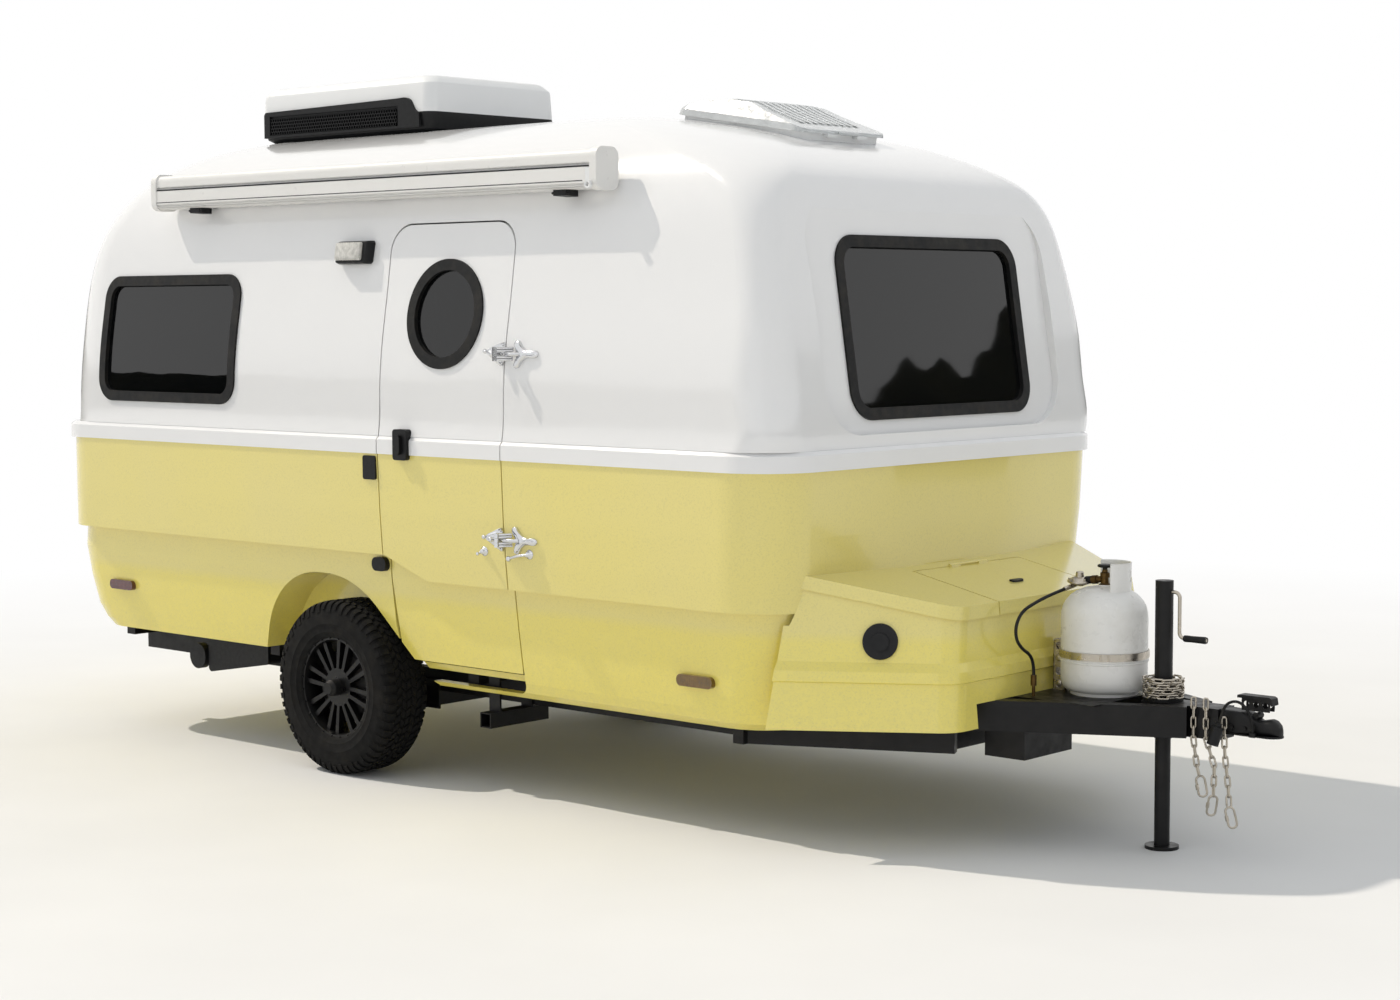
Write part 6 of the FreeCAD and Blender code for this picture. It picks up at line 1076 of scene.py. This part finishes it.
def coupler_head():
    """Pressed coupler: channel that narrows to a domed socket, its lip, lever and gland."""
    head = Shape()
    rings = []
    for x, half, low, high, radius in (
        (3545, 42, 446, 528, 6), (3606, 42, 446, 527, 9), (3640, 41, 446, 521, 14), (3664, 38, 446, 506, 17),
        (3684, 35, 446, 498, 18), (3704, 36, 446, 503, 24), (3722, 36, 446, 507, 28), (3738, 32, 446, 503, 26),
        (3750, 25, 446, 492, 20), (3757, 15, 446, 476, 12), (3759.5, 7, 446, 462, 5),
    ):
        rings.append([place(x, y, z) for y, z in rounded(-half, half, low, high, radius, 4)])
    head.rings(rings)
    head.lathe([(0.5, 444), (41, 444), (42, 447), (41, 451), (0.5, 451)], place(3719.5, 0, 0), UP, 40)
    block_at(head, (3560, -46, 445), (3719, 46, 450))
    for side in (-1, 1):
        head.tube([place(3590, side * 40, 470), place(3590, side * 49, 470)], 10, 6)
        head.tube([place(3640, side * 40, 470), place(3640, side * 47, 470)], 8, 6)
    ways = [Vector(way) for way in (EAST, UP, RIGHT)]
    for y in (-15, 17):
        holed_plate(head, place(3612, y, 530), *ways, (36, 44), (3, 1), 11.0, 3.5)
    lever = [
        (3598, 572), (3600, 582), (3606, 583), (3720, 583), (3729, 578), (3733, 556), (3728, 553),
        (3719, 571), (3708, 574),
    ]
    head.rings([[place(x, y, z) for x, z in lever] for y in (-22, 22)])
    head.tube([place(3668, -20, 514), place(3668, 20, 514)], 12, 14)
    head.rings([
        [place(x, y, z) for x, y in rounded(3664, 3688, -61, -41, 6, 3)] for z in (446, 458, 461)
    ])
    piece("coupler_head", head.verts, head.faces, "black_steel", "caravan", ["coupler"])


def end_links():
    """Larger quick links at the ends of the chain strands."""
    links = Shape()
    for x, y, z, lean in ((3484, -68, 289, 0.2), (3539, -68, 227, -0.2), (3592, -56, 192, 0.25)):
        along = Vector((lean, 0.05, -1)).normalized()
        aside = along.cross(Vector((0.6, -0.8, 0))).normalized()
        middle = place(x, y, z) + along * 0.034
        loop = []
        for step in range(28):
            angle = 2 * math.pi * step / 28
            reach = math.copysign(0.021, math.cos(angle)) if abs(math.cos(angle)) > 0.05 else 0
            ahead = along * (reach + 0.015 * math.cos(angle))
            loop.append(middle + ahead + aside * (0.015 * math.sin(angle)))
        loop += loop[:2]
        links.tube(loop, 4.0, 8)
        links.lathe([(0.4, -9), (6.4, -9), (6.4, 9), (0.4, 9)], middle + aside * 0.015, tuple(along), 6)
    piece("chain_end_links", links.verts, links.faces, "zinc_steel", "caravan")


def roof_unit():
    """Air conditioner: black tray on the roof, white hood with chamfered top, honeycomb flanks."""
    roof = skin_tree("upper_shell")
    rear, front, half = -1255, -90, 380

    def ring(level, inset, seated=False):
        points = []
        for x, y in rounded(rear + inset, front - inset, inset - half, half - inset, 55, 8):
            z = level
            if seated:
                hit, _, _, _ = roof.ray_cast(place(x, y, 3200), Vector((0, 0, -1)), 1.5)
                z = max(level, hit.z * 1000 - 2) if hit is not None else level
            points.append(place(x, y, z))
        return points

    tray = Shape().rings(
        [ring(2640, 40, True), ring(2684, 12, True), ring(2728, 1, True), ring(2750, -1), ring(2756, 0)],
        caps=False,
    )
    hood = Shape().rings([
        ring(2753, 3), ring(2756, 0), ring(2762, 0), ring(2868, 5), ring(2880, 8), ring(2906, 32),
        ring(2912, 44), ring(2915, 70), ring(2916, 150),
    ])
    for side in (-1, 1):
        def flank(x, z, out):
            return place(x, side * (half + out), z)
        low, high, left, right, floor = 2700, 2786, -1166, -286, 2690
        for outline in (
            [(-1206, floor), (left, floor), (left, 2806), (-1196, 2806), (-1206, 2794)],
            [(left, high), (right, high), (right, 2818), (-1166, 2806)],
            [(left, floor), (right, floor), (right, low), (left, low)],
            [(right, floor), (-150, floor), (-150, 2752), (-166, 2756), (-182, 2766), (-196, 2788),
             (-208, 2806), (-226, 2816), (-246, 2820), (right, 2818)],
        ):
            tray.rings([[flank(x, z, out) for x, z in outline] for out in (-2, 12)])
        tray.rings([
            [flank(x, z, out) for x, z in ((left, low), (right, low), (right, high), (left, high))]
            for out in (0, 2)
        ])
        size = 9.6
        rows = int((high - low) / (size * 1.5))
        columns = int((right - left) / (size * math.sqrt(3)))
        for row in range(rows):
            for column in range(columns):
                x = left + size * math.sqrt(3) * (column + 0.5 + (row % 2) * 0.5)
                z = low + size + row * size * 1.5
                if x + size > right:
                    continue
                loops = []
                for share, out in ((1.0, 1.5), (1.0, 10), (0.78, 10), (0.78, 1.5)):
                    loops.append([
                        flank(x + size * share * math.sin(k * math.pi / 3),
                              z + size * share * math.cos(k * math.pi / 3), out)
                        for k in range(6)
                    ])
                tray.rings(loops, caps=False)
    piece("roof_unit_tray", tray.verts, tray.faces, "black_plastic", "caravan", ["ac_base"])
    piece("roof_unit_hood", hood.verts, hood.faces, "white_plastic", "caravan", ["ac_cover"], sharp=24.0)


def awning_trim():
    """Lead rail, dark seam, painted groove shade above the rail, ribs, crank eye and holding clips of the
    awning case.
    """
    rail, dark, eye = Shape(), Shape(), Shape()
    outer = AWNING_Y
    for low, high, out in ((2368, 2428, 4.5), (2357, 2361, 3), (2350.5, 2353, 1.5)):
        section = ((outer + 6, low), (outer - out, low + 1), (outer - out, high - 1), (outer + 6, high))
        rail.rings([[place(x, y, z) for y, z in section] for x in (-1137, 1482)])
    block_at(dark, (-1137, outer - 5.2, 2376), (1468, outer - 3, 2379))
    # Painted shade: this black strip fills the groove between the lead rail's top and the case above it.
    block_at(dark, (-1137, outer - 3, 2429), (1500, outer + 6, 2433))
    for x in (-896, 1327):
        dark.rings([
            [
                place(x - 33, -1018, z0), place(x + 33, -1018, z0),
                place(x + 30, -950, z0 - 3), place(x - 30, -950, z0 - 3),
            ]
            for z0 in (2328, 2352)
        ])
        dark.tube([place(x - 44, -1012, 2338), place(x + 44, -1012, 2338)], 5, 8)
    eye.lathe([(8, 0), (8, 12), (14, 14), (15, 8), (15, 0)], place(1508, -1044, 2362), (0, -1, 0), 20)
    block_at(eye, (1484, outer - 6, 2362), (1504, outer + 10, 2426))
    piece("awning_rail", rail.verts, rail.faces, "awning_aluminium", "caravan")
    piece("awning_dark_parts_and_groove_shade", dark.verts, dark.faces, "black_plastic", "caravan")
    piece("awning_eye", eye.verts, eye.faces, "white_plastic", "caravan")


# Build
gas_set()
coupler_head()
end_links()
roof_unit()
awning_trim()
